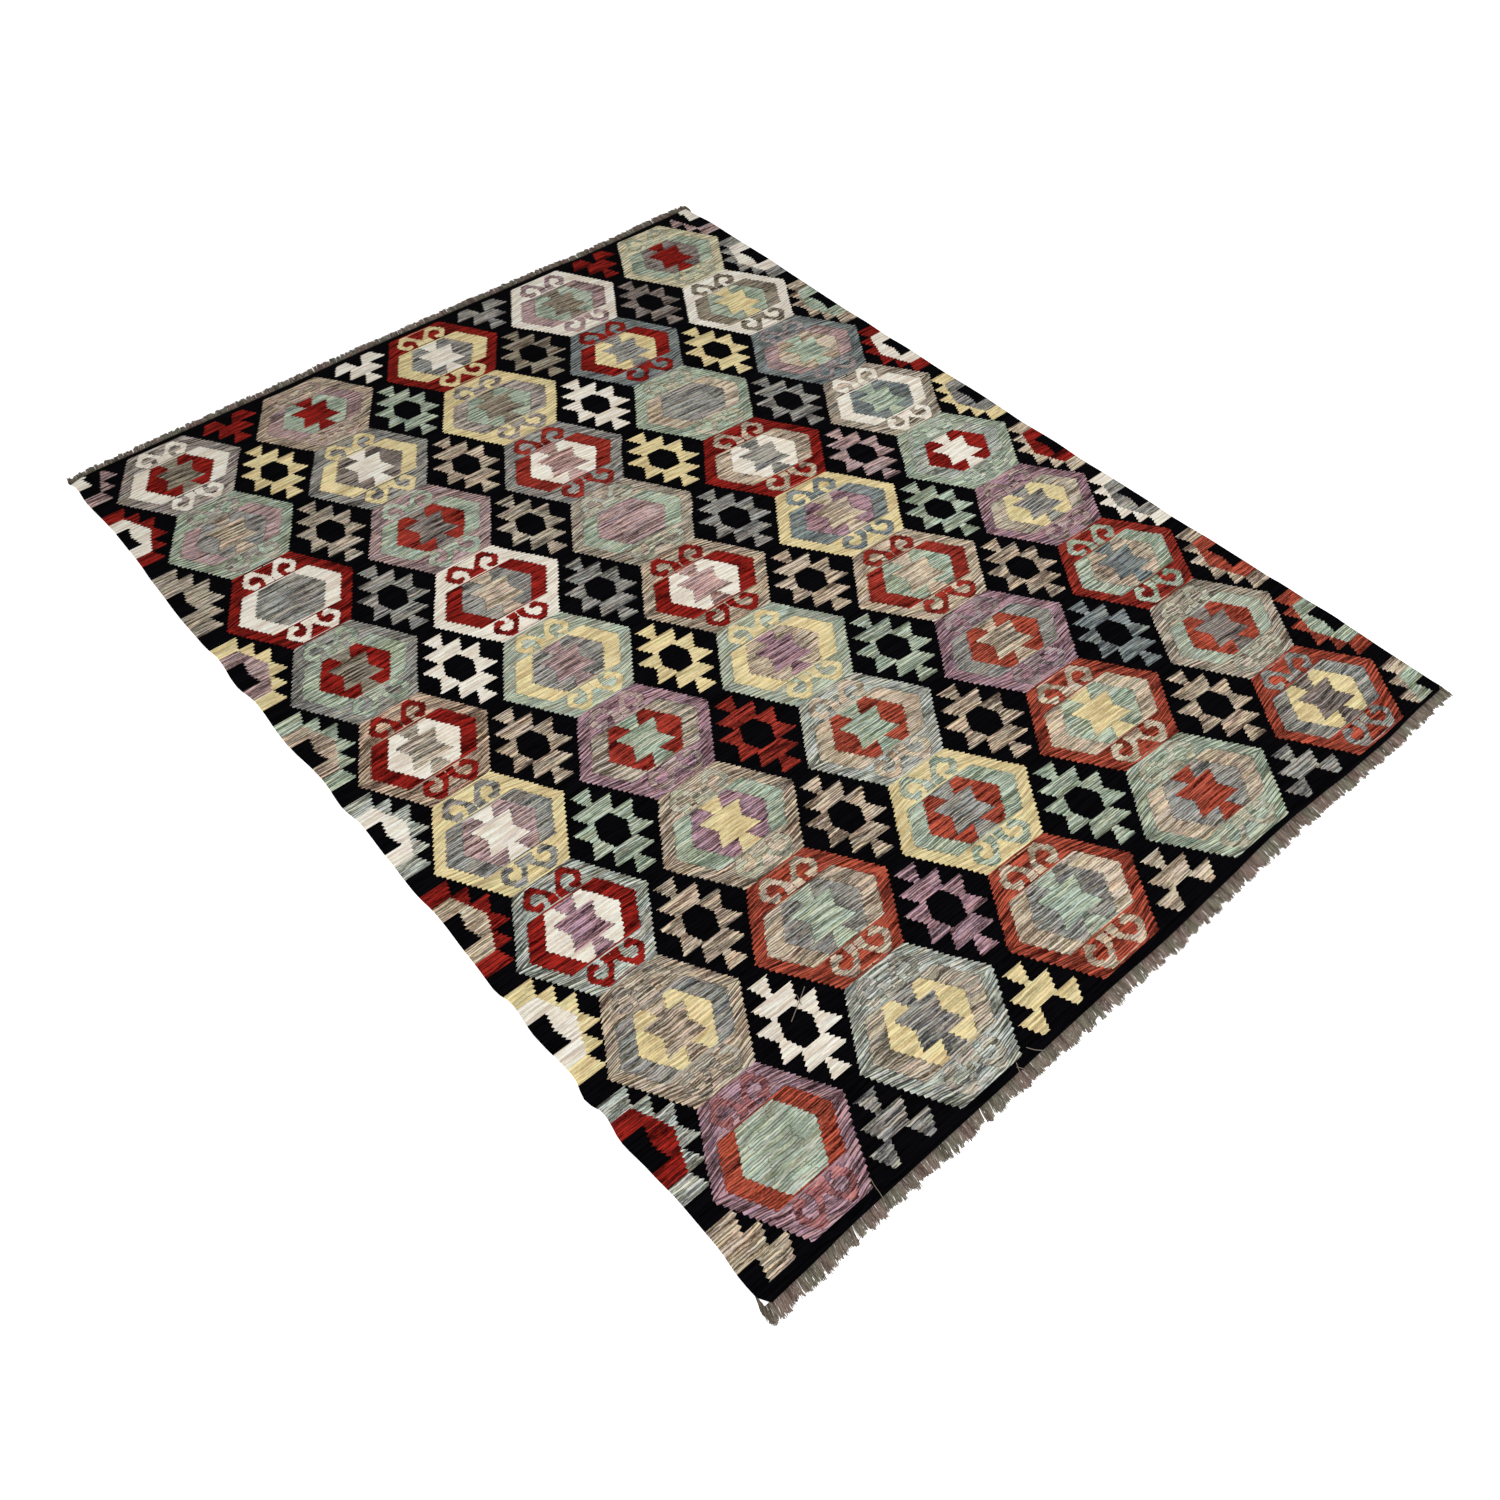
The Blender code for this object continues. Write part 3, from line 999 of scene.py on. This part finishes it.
def relief_group():
    """Weft-faced plain weave: the ribs of the hidden warps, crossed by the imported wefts."""
    tree, wires, entry, leave = new_group("plain weave relief", [("Place", VECTOR)], [("Height", FLOAT)])
    x, y, _ = wires.parts(entry[0])
    rib = wires.math("ABSOLUTE", wires.math("SINE", wires.times(x, math.pi / WARP_PITCH)))
    pick = wires.math("ABSOLUTE", wires.math("SINE", wires.times(y, math.pi / WEFT_PITCH)))
    fibre = wires.waves(x, 900.0, y, 1500.0)
    height = wires.add(wires.times(rib, 0.55), wires.times(pick, 0.30))
    wires.put(leave[0], wires.add(height, wires.times(fibre, 0.25)))
    return tree


def wool_shader(name, roughness):
    """A new material with its shader set for dry, matt wool."""
    material = bpy.data.materials.new(name)
    material.use_nodes = True
    shader = material.node_tree.nodes["Principled BSDF"]
    shader.inputs["Roughness"].default_value = roughness
    shader.inputs["Specular IOR Level"].default_value = 0.02
    shader.inputs["Metallic"].default_value = 0.0
    return material, shader, Wires(material.node_tree)


class Chart:
    """The chart at a place on the cloth: where it lies in its cell, which masks it is in, and its dye."""

    def __init__(self, wires, groups):
        self.place = wires.attribute("chart_place")
        self.x, self.y, from_selvedge = wires.parts(self.place)
        middle_x, middle_y, seed = wires.parts(wires.attribute("chart_cell"))
        self.outer, ring, core = wires.parts(wires.attribute("medallion_wools"))
        heart, star_dye, inner_dye = wires.parts(wires.attribute("star_wools"))
        beside_selvedge, at_end, own_seed = wires.parts(wires.attribute("cell_kind"))
        self.hooks_faint, _, _ = wires.parts(wires.attribute("hooks_kind"))

        wobble = wires.times(wires.less(wires.waves(self.x, 14.0, self.y, 14.0), 0.5), WOBBLE)
        across = wires.add(wires.math("ABSOLUTE", wires.less(self.x, middle_x)), wobble)
        self.along = wires.math("ABSOLUTE", wires.less(self.y, middle_y))
        star_across = wires.less(CELL_ACROSS / 2, across)
        star_along = wires.less(CELL_ALONG / 2, self.along)
        side_x = wires.math("SIGN", wires.less(self.x, middle_x))
        side_y = wires.math("SIGN", wires.less(self.y, middle_y))
        quarter = wires.add(seed, wires.add(wires.times(side_x, 1.7), wires.times(side_y, 3.1)))

        sawn = wires.group(groups["saw teeth"], Along_Rug=self.y, Seed=quarter)
        teeth = sawn["Depth"]
        self.medallion = wires.group(
            groups["medallion"],
            Across=across,
            Along=self.along,
            Seed=quarter,
            Teeth=teeth,
            Slit_Place=sawn["Slit Place"],
        )
        star_values = {"Along": star_along, "Teeth": teeth, "At_Far_End": at_end}
        star = wires.group(groups["star"], Across=star_across, **star_values)
        half = wires.group(groups["half star"], From_Selvedge=from_selvedge, **star_values)

        dye = wires.times(wires.times(star["Star"], wires.opposite(beside_selvedge)), star_dye)
        dye = wires.blend(wires.times(half["Teeth"], beside_selvedge), dye, star_dye)
        dye = wires.blend(wires.times(half["Ring"], beside_selvedge), dye, inner_dye)
        layers = (("Border", self.outer), ("Hooks", ring), ("Ring", ring), ("Core", core), ("Heart", heart))
        for mask, wool in layers:
            dye = wires.blend(self.medallion[mask], dye, wool)
        self.dye = dye

        self.in_star = wires.opposite(self.medallion["Border"])
        cell = wires.blend(self.in_star, seed, own_seed)
        self.patch = wires.add(wires.times(dye, 3.7), wires.times(cell, 5.3))
        inward = wires.math("MAXIMUM", self.medallion["From Outline"], 0.0)
        self.slanting = wires.math("MINIMUM", inward, TILT_REACH)
        self.slant = wires.times(self.slanting, -TILT, side_y)


def tinted_yarn(wires, groups, chart, wool, streaks):
    """The yarn's colour: its dye's tone, blended where hooks are faint, and tinted by its dye lot."""
    border_wool = wires.group(groups["wool"], Dye=chart.outer, Tone=streaks["Tone"])
    share = wires.times(chart.hooks_faint, chart.medallion["Hooks"], FAINT_SHARE)
    yarn = wires.blend_colours(share, wool["Colour"], border_wool["Colour"])
    strength = wires.grade(wool["Furrow Depth"], 0.0, 0.6, 0.2, 1.0)
    for outlet, first, second in (("Warm", COOL_LOT, WARM_LOT), ("Green", PINK_LOT, GREEN_LOT)):
        tint = wires.blend_colours(streaks[outlet], first, second)
        yarn = wires.blend_colours(strength, yarn, tint, "MULTIPLY")
    return yarn


def woven_shade(wires, chart, wool, streaks):
    """How dark a place lies: in a groove between two teeth, in a slit, or in a furrow between the picks."""
    turned = wires.less(chart.along, wires.times(chart.slanting, TILT))
    turned = wires.add(turned, wires.times(streaks["Waver"], 0.25))
    from_tooth = wires.math("PINGPONG", turned, TOOTH / 2)
    parted = wires.waves(chart.x, 22.0, chart.y, 40.0, chart.patch)
    groove = wires.times(wires.grade(from_tooth, *GROOVE_EDGE), wires.grade(parted, *GROOVE_NOISE))
    inward = wires.grade(chart.medallion["From Outline"], *GROOVE_REACH, *GROOVE_SHADE)
    groove = wires.times(groove, inward)
    groove = wires.times(groove, wires.blend(chart.in_star, 1.0, GROOVE_IN_STARS))
    groove = wires.times(groove, wires.blend(wool["Furrow Depth"], GROOVE_IN_PLAIN, 1.0))
    furrow = wires.times(streaks["Furrow"], wool["Furrow Depth"], FURROW_SHADE)
    slit = wires.times(chart.medallion["Slit"], SLIT_SHADE)
    return wires.math("MAXIMUM", wires.math("MAXIMUM", groove, slit), furrow)


def woven_wool(groups):
    """The field's material: the chart chooses a dye for every place, and the streaks choose its tone."""
    material, shader, wires = wool_shader("woven wool", 0.92)
    chart = Chart(wires, groups)
    streaks = wires.group(groups["streaks"], Place=chart.place, Patch=chart.patch, Slant=chart.slant)
    wool = wires.group(groups["wool"], Dye=chart.dye, Tone=streaks["Tone"])
    yarn = tinted_yarn(wires, groups, chart, wool, streaks)
    shade = woven_shade(wires, chart, wool, streaks)
    wires.put(shader.inputs["Base Color"], wires.blend_colours(shade, yarn, SHADOW))

    height = wires.group(groups["relief"], Place=chart.place)["Height"]
    bump = wires.node("ShaderNodeBump")
    bump.inputs["Strength"].default_value = 0.6
    bump.inputs["Distance"].default_value = 0.0007
    wires.put(bump.inputs["Height"], wires.less(height, wires.times(shade, 1.5)))
    wires.put(shader.inputs["Normal"], bump.outputs[0])
    return material


def warp_yarn():
    """The fringe: undyed grey-brown warp, each strand a little different, with painted shade toward the
    roots.
    """
    material, shader, wires = wool_shader("warp yarn", 0.95)
    tone = wires.attribute("strand_tone", "Fac")
    from_root = wires.attribute("from_root", "Fac")
    x, y, _ = wires.parts(wires.node("ShaderNodeTexCoord").outputs["Object"])
    clump = wires.grade(wires.waves(x, 60.0, y, 12.0, detail=2.0), 0.35, 0.65)
    share = wires.add(wires.times(tone, tone, 0.70), wires.times(clump, 0.35))
    colour = wires.blend_colours(share, wool_colour(WARP_DARK), wool_colour(WARP_LIGHT))
    broad = wires.grade(wires.waves(x, 16.0, y, 3.0, 8.0), 0.4, 0.6)
    tint = wires.blend_colours(broad, wool_colour(WARP_PINK), wool_colour(WARP_GREEN))
    colour = wires.blend_colours(0.8, colour, tint, "MULTIPLY")
    fibre = wires.grade(wires.waves(x, 2500.0, y, 900.0), 0.4, 0.7, 0.0, 0.35)
    colour = wires.blend_colours(fibre, colour, wool_colour(WARP_FIBRE))
    # Painted shade: the strands darken toward their roots beside the cloth's end.
    root_shade = wires.grade(from_root, 0.05, 0.50, 0.32, 0.0)
    colour = wires.blend_colours(root_shade, colour, wool_colour(WARP_ROOT_SHADE))
    wires.put(shader.inputs["Base Color"], colour)
    return material


# ---------------------------------------------------------------- the fringe


def end_curve(name, line, lengths):
    """A woven end as a curve. Its radius carries the fringe's length there."""
    curve = bpy.data.curves.new(name, "CURVE")
    curve.dimensions = "3D"
    spline = curve.splines.new("POLY")
    spline.points.add(len(line) - 1)
    for point, (x, y) in zip(spline.points, line):
        point.co = (x, y, 0.0, 1.0)
        point.radius = lengths(x)
    guide = bpy.data.objects.new(name, curve)
    bpy.context.scene.collection.objects.link(guide)
    return guide


FRINGE_INPUTS = (
    # name, kind, and value, or None where each end gives its own
    ("Strands", "NodeSocketInt", FRINGE_STRANDS),
    ("Strand Radius", FLOAT, STRAND_RADIUS),
    ("Root Depth", FLOAT, FRINGE_ROOT),
    ("Root Height", FLOAT, None),
    ("Outward", FLOAT, None),
    ("Lean", FLOAT, None),
    ("Clump", FLOAT, CLUMP),
    ("Gather", FLOAT, 0.6),
    ("Tangle", FLOAT, 0.008),
    ("Seed", "NodeSocketInt", None),
    ("Wool", "NodeSocketMaterial", None),
)


class FringeWires(Wires):
    """Wires for the fringe's tree, with what enters the tree and a seeded chance for each point."""

    def __init__(self, tree):
        super().__init__(tree)
        self.entry = self.node("NodeGroupInput").outputs

    def chance(self, low, high, salt):
        made = self.node("FunctionNodeRandomValue", data_type="FLOAT")
        self.put(made.inputs[2], low)
        self.put(made.inputs[3], high)
        self.put(made.inputs["Seed"], self.add(self.entry["Seed"], float(salt)))
        return made.outputs[1]

    def clump_dice(self, clump, salt):
        return self.dice(self.vector(clump, self.entry["Seed"], salt))

    def keep(self, geometry, name, value, domain="POINT"):
        """Stores a value on the geometry under a name."""
        made = self.node("GeometryNodeStoreNamedAttribute", data_type="FLOAT", domain=domain)
        self.put(made.inputs["Geometry"], geometry)
        self.put(made.inputs["Name"], name)
        self.put(made.inputs["Value"], value)
        return made.outputs[0]

    def kept(self, name):
        made = self.node("GeometryNodeInputNamedAttribute", data_type="FLOAT")
        self.put(made.inputs["Name"], name)
        return made.outputs[0]

    def place(self):
        return self.node("GeometryNodeInputPosition").outputs[0]

    def realize(self, geometry):
        made = self.node("GeometryNodeRealizeInstances")
        self.put(made.inputs[0], geometry)
        return made.outputs[0]


def fringe_roots(wires):
    """The strands' roots along a woven end, and each one's length and lean. Neighbours gather in clumps."""
    entry = wires.entry
    roots = wires.node("GeometryNodeCurveToPoints", mode="COUNT")
    wires.put(roots.inputs["Curve"], entry["Geometry"])
    wires.put(roots.inputs["Count"], entry["Strands"])
    length = wires.node("GeometryNodeInputRadius").outputs[0]
    root_x, _, _ = wires.parts(wires.place())
    stray = wires.less(wires.cloud(wires.vector(wires.times(root_x, 70.0), entry["Seed"])), 0.5)
    clump_place = wires.add(root_x, wires.times(stray, CLUMP_STRAY))
    clump = wires.math("FLOOR", wires.math("DIVIDE", clump_place, entry["Clump"]))
    pull = wires.less(wires.times(wires.add(clump, 0.5), entry["Clump"]), clump_place)

    clump_length = wires.blend(wires.clump_dice(clump, 1.0), *CLUMP_CUT)
    reach = wires.add(wires.times(length, wires.chance(*STRAND_CUT, 1), clump_length), entry["Root Depth"])
    clump_lean = wires.blend(wires.clump_dice(clump, 2.0), -CLUMP_LEAN, CLUMP_LEAN)
    broad_lean = wires.less(wires.cloud(wires.vector(wires.times(root_x, 11.0), entry["Seed"], 4.0)), 0.5)
    lean = wires.add(wires.add(entry["Lean"], clump_lean), wires.times(broad_lean, BROAD_LEAN))
    lean = wires.add(lean, wires.chance(-STRAND_LEAN, STRAND_LEAN, 4))

    scatter = wires.node("GeometryNodeSetPosition")
    wires.put(scatter.inputs["Geometry"], roots.outputs["Points"])
    aside = wires.chance(-STRAND_STRAY, STRAND_STRAY, 2)
    start = wires.times(entry["Root Depth"], entry["Outward"], -1.0)
    height = wires.add(entry["Root Height"], wires.chance(0.0, STRAND_PILE, 3))
    wires.put(scatter.inputs["Offset"], wires.vector(aside, start, height))
    return wires.keep(scatter.outputs[0], "pull", pull), reach, lean


def straight_strands(wires, roots, reach, lean):
    """One straight strand on each root, as a curve of a few points with its own tone."""
    line = wires.node("GeometryNodeCurvePrimitiveLine")
    wires.put(line.inputs["End"], (0.0, 1.0, 0.0))
    bendable = wires.node("GeometryNodeResampleCurve")
    wires.put(bendable.inputs["Curve"], line.outputs[0])
    wires.put(bendable.inputs["Count"], 5)
    strands = wires.node("GeometryNodeInstanceOnPoints")
    wires.put(strands.inputs["Points"], roots)
    wires.put(strands.inputs["Instance"], bendable.outputs[0])
    wires.put(strands.inputs["Rotation"], wires.vector(0.0, 0.0, lean))
    wires.put(strands.inputs["Scale"], wires.vector(1.0, wires.times(reach, wires.entry["Outward"]), 1.0))
    return wires.keep(wires.realize(strands.outputs[0]), "strand_tone", wires.chance(0.0, 1.0, 5), "CURVE")


def bent_strands(wires, strands, along, free):
    """The strands tangled, gathered into their clumps and drooping to the floor, most at their tips."""
    entry = wires.entry
    place = wires.place()
    tangle = wires.node("ShaderNodeTexNoise", noise_dimensions="4D")
    wires.put(tangle.inputs["Vector"], place)
    wires.put(tangle.inputs["W"], wires.times(entry["Seed"], 1.7))
    wires.put(tangle.inputs["Scale"], 160.0)
    wires.put(tangle.inputs["Detail"], 2.0)
    push_x, _, push_z = wires.parts(tangle.outputs["Color"])
    sway = wires.times(wires.less(push_x, 0.5), entry["Tangle"], free)
    sway = wires.add(sway, wires.times(wires.kept("pull"), entry["Gather"], free, along))
    fall = wires.times(free, wires.add(-DROOP, wires.times(wires.less(push_z, 0.5), DROOP_UNEVEN)))
    bent = wires.node("GeometryNodeSetPosition")
    wires.put(bent.inputs["Geometry"], strands)
    wires.put(bent.inputs["Offset"], wires.vector(sway, 0.0, fall))

    x, y, z = wires.parts(place)
    lowest = wires.times(entry["Strand Radius"], 0.9)
    resting = wires.node("GeometryNodeSetPosition")
    wires.put(resting.inputs["Geometry"], bent.outputs[0])
    wires.put(resting.inputs["Position"], wires.vector(x, y, wires.math("MAXIMUM", z, lowest)))
    return resting.outputs[0]


def round_strands(wires, strands, along, free):
    """Each strand as a three-sided rod, thinner toward its tip, that carries the distance from its root."""
    thinned = wires.node("GeometryNodeSetCurveRadius")
    wires.put(thinned.inputs["Curve"], strands)
    wires.put(thinned.inputs["Radius"], wires.less(1.0, wires.times(free, STRAND_THINNING)))
    section = wires.node("GeometryNodeCurvePrimitiveCircle")
    wires.put(section.inputs["Resolution"], 3)
    wires.put(section.inputs["Radius"], wires.entry["Strand Radius"])
    skin = wires.node("GeometryNodeCurveToMesh")
    wires.put(skin.inputs["Curve"], wires.keep(thinned.outputs[0], "from_root", along))
    wires.put(skin.inputs["Profile Curve"], section.outputs["Curve"])
    wires.put(skin.inputs["Fill Caps"], True)
    return skin.outputs[0]


def fringe_tree():
    """Geometry nodes: many fine strands along a woven end, each cut to its own length, on the floor."""
    tree = bpy.data.node_groups.new("cut warp fringe", "GeometryNodeTree")
    tree.interface.new_socket("Geometry", in_out="INPUT", socket_type="NodeSocketGeometry")
    for name, kind, value in FRINGE_INPUTS:
        socket = tree.interface.new_socket(name, in_out="INPUT", socket_type=kind)
        if value is not None:
            socket.default_value = value
    tree.interface.new_socket("Geometry", in_out="OUTPUT", socket_type="NodeSocketGeometry")
    wires = FringeWires(tree)
    along = wires.node("GeometryNodeSplineParameter").outputs["Factor"]
    free = wires.times(along, along)
    strands = straight_strands(wires, *fringe_roots(wires))
    strands = bent_strands(wires, strands, along, free)
    strands = round_strands(wires, strands, along, free)
    finished = wires.node("GeometryNodeSetMaterial")
    wires.put(finished.inputs["Geometry"], wires.realize(strands))
    wires.put(finished.inputs["Material"], wires.entry["Wool"])
    wires.put(wires.node("NodeGroupOutput").inputs[0], finished.outputs[0])
    return tree


def grow(guide, tree, name, values):
    """Runs the tree on a guide curve and keeps the plain mesh that comes out."""
    modifier = guide.modifiers.new("fringe", "NODES")
    modifier.node_group = tree
    for item in tree.interface.items_tree:
        if item.in_out == "INPUT" and item.name in values:
            modifier[item.identifier] = values[item.name]
    graph = bpy.context.evaluated_depsgraph_get()
    mesh = bpy.data.meshes.new_from_object(guide.evaluated_get(graph), depsgraph=graph)
    mesh.name = name
    bpy.data.objects.remove(guide)
    return mesh


def eased_length(stations):
    """The fringe's length by place across the rug, easing from one station to the next."""

    def at(x):
        place = x - LEFT_LINE
        for near, far in zip(stations, stations[1:]):
            if place <= far[0]:
                share = min(max((place - near[0]) / (far[0] - near[0]), 0.0), 1.0)
                return between(near[1], far[1], (1 - math.cos(math.pi * share)) / 2)
        return stations[-1][1]

    return at


def make_fringe(edges, tree, material):
    """Both fringes, far and near."""
    far = {"Outward": 1.0, "Seed": 3, "Lean": -0.26, "Root Height": 0.0020}
    near = {"Outward": -1.0, "Seed": 8, "Lean": -0.22, "Root Height": 0.0003}
    ends = (
        ("fringe_far_strands", edges.far, FAR_LENGTHS, far),
        ("fringe_near_strands", edges.near, NEAR_LENGTHS, near),
    )
    made = []
    for name, line, lengths, values in ends:
        guide = end_curve(name, line, eased_length(lengths))
        mesh = grow(guide, tree, name, {**values, "Wool": material})
        made.append(new_piece(name, mesh, material))
    return made


def tube(points, radius, sides=5):
    """A thin closed tube along a few points. Returns its corners and faces."""
    corners, faces = [], []
    for index, point in enumerate(points):
        ahead = points[min(index + 1, len(points) - 1)] - points[max(index - 1, 0)]
        turn = ahead.to_track_quat("Z", "Y")
        for side in range(sides):
            angle = 2 * math.pi * side / sides
            out = Vector((math.cos(angle) * radius, math.sin(angle) * radius, 0.0))
            corners.append(point + turn @ out)
    for index in range(len(points) - 1):
        for side in range(sides):
            first, after = index * sides + side, index * sides + (side + 1) % sides
            faces.append((first, after, after + sides, first + sides))
    faces.append(tuple(range(sides))[::-1])
    last = (len(points) - 1) * sides
    faces.append(tuple(range(last, last + sides)))
    return corners, faces


def smooth_path(points, steps):
    """A smooth run through the points: a cubic from each one to the next, with no kink where they meet."""
    padded = [points[0]] + list(points) + [points[-1]]
    path = []
    for before, start, stop, after in zip(padded, padded[1:], padded[2:], padded[3:]):
        slope = stop - before
        bend = 2 * before - 5 * start + 4 * stop - after
        twist = 3 * start - before - 3 * stop + after
        for index in range(steps):
            share = index / steps
            path.append((2 * start + slope * share + bend * share**2 + twist * share**3) / 2)
    return path + [points[-1]]


def make_loose_threads(material):
    """Ends of pale yarn that have worked loose toward the near end."""
    corners, faces = [], []
    for thread in LOOSE_THREADS:
        points = [Vector((LEFT_LINE + across, FAR_LINE - along, z)) for across, along, z in thread]
        new_corners, new_faces = tube(smooth_path(points, 4), THREAD_RADIUS)
        start = len(corners)
        corners.extend(new_corners)
        faces.extend(tuple(start + corner for corner in face) for face in new_faces)
    mesh = bpy.data.meshes.new("loose_threads")
    mesh.from_pydata(corners, [], faces)
    mesh.update()
    tone = mesh.attributes.new("strand_tone", "FLOAT", "FACE")
    tone.data.foreach_set("value", [1.0] * len(faces))
    return new_piece("loose_threads", mesh, material)


# ---------------------------------------------------------------- the studio


def make_floor():
    """A plain white floor just under the rug, lit from within so that its edge and shadows hardly show."""
    ways = ((-1, -1), (1, -1), (1, 1), (-1, 1))
    corners = [(x * FLOOR_HALF, y * FLOOR_HALF, FLOOR_LEVEL) for x, y in ways]
    mesh = bpy.data.meshes.new("studio_floor")
    mesh.from_pydata(corners, [], [(0, 1, 2, 3)])
    mesh.update()
    material = bpy.data.materials.new("studio floor")
    material.use_nodes = True
    shader = material.node_tree.nodes["Principled BSDF"]
    shader.inputs["Base Color"].default_value = (0.96, 0.96, 0.96, 1.0)
    shader.inputs["Roughness"].default_value = 0.9
    shader.inputs["Specular IOR Level"].default_value = 0.0
    shader.inputs["Emission Color"].default_value = (1.0, 1.0, 1.0, 1.0)
    shader.inputs["Emission Strength"].default_value = 0.5
    mesh.materials.append(material)
    floor = bpy.data.objects.new("studio_floor", mesh)
    bpy.context.scene.collection.objects.link(floor)


def make_light():
    """An even pale room and a soft light from the near left. An overhead lamp fades toward the far end."""
    world = bpy.data.worlds.new("studio")
    world.use_nodes = True
    background = world.node_tree.nodes["Background"]
    background.inputs[0].default_value = (1.0, 1.0, 1.0, 1.0)
    background.inputs[1].default_value = 0.55
    bpy.context.scene.world = world
    sun = bpy.data.lights.new("soft_key", "SUN")
    sun.energy = 1.05
    sun.angle = math.radians(20)
    key = bpy.data.objects.new("soft_key", sun)
    key.rotation_euler = (math.radians(38), 0.0, math.radians(-60))
    bpy.context.scene.collection.objects.link(key)
    pool = bpy.data.lights.new("overhead", "SPOT")
    pool.energy = 384.0
    pool.spot_size = math.radians(45.4)
    pool.spot_blend = 0.77
    pool.shadow_soft_size = 0.5
    lamp = bpy.data.objects.new("overhead", pool)
    lamp.location = (0.0, -1.0, 6.0)
    bpy.context.scene.collection.objects.link(lamp)


def make_camera():
    """The photograph's view: high over the near left corner."""
    data = bpy.data.cameras.new("camera")
    data.lens = CAMERA_LENS
    data.sensor_width = CAMERA_SENSOR
    camera = bpy.data.objects.new("camera", data)
    place, aim = Vector(CAMERA_PLACE), Vector(CAMERA_AIM)
    camera.location = place
    camera.rotation_mode = "QUATERNION"
    roll = Quaternion((0.0, 0.0, 1.0), math.radians(CAMERA_ROLL))
    camera.rotation_quaternion = (aim - place).to_track_quat("-Z", "Y") @ roll
    bpy.context.scene.collection.objects.link(camera)
    bpy.context.scene.camera = camera


def set_colours():
    """Colours are shown as they are."""
    scene = bpy.context.scene
    scene.view_settings.view_transform = "Standard"
    scene.view_settings.look = "None"
    scene.view_settings.exposure = 0.0
    scene.view_settings.gamma = 1.0


def main():
    set_colours()
    make_camera()
    make_light()
    make_floor()
    edges = Edges(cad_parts["woven_cloth"])
    groups = {
        "saw teeth": teeth_group(),
        "medallion": medallion_group(),
        "star": star_group(),
        "half star": half_star_group(),
        "streaks": streak_group(),
        "wool": wool_group(),
        "relief": relief_group(),
    }
    cloth = make_cloth(edges, woven_wool(groups))
    yarn = warp_yarn()
    far, near = make_fringe(edges, fringe_tree(), yarn)
    threads = make_loose_threads(yarn)
    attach(cloth, "root")
    for piece in (far, near, threads):
        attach(piece, "root")
    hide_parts("woven_cloth")
    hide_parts("fringe_far")
    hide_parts("fringe_near")


main()
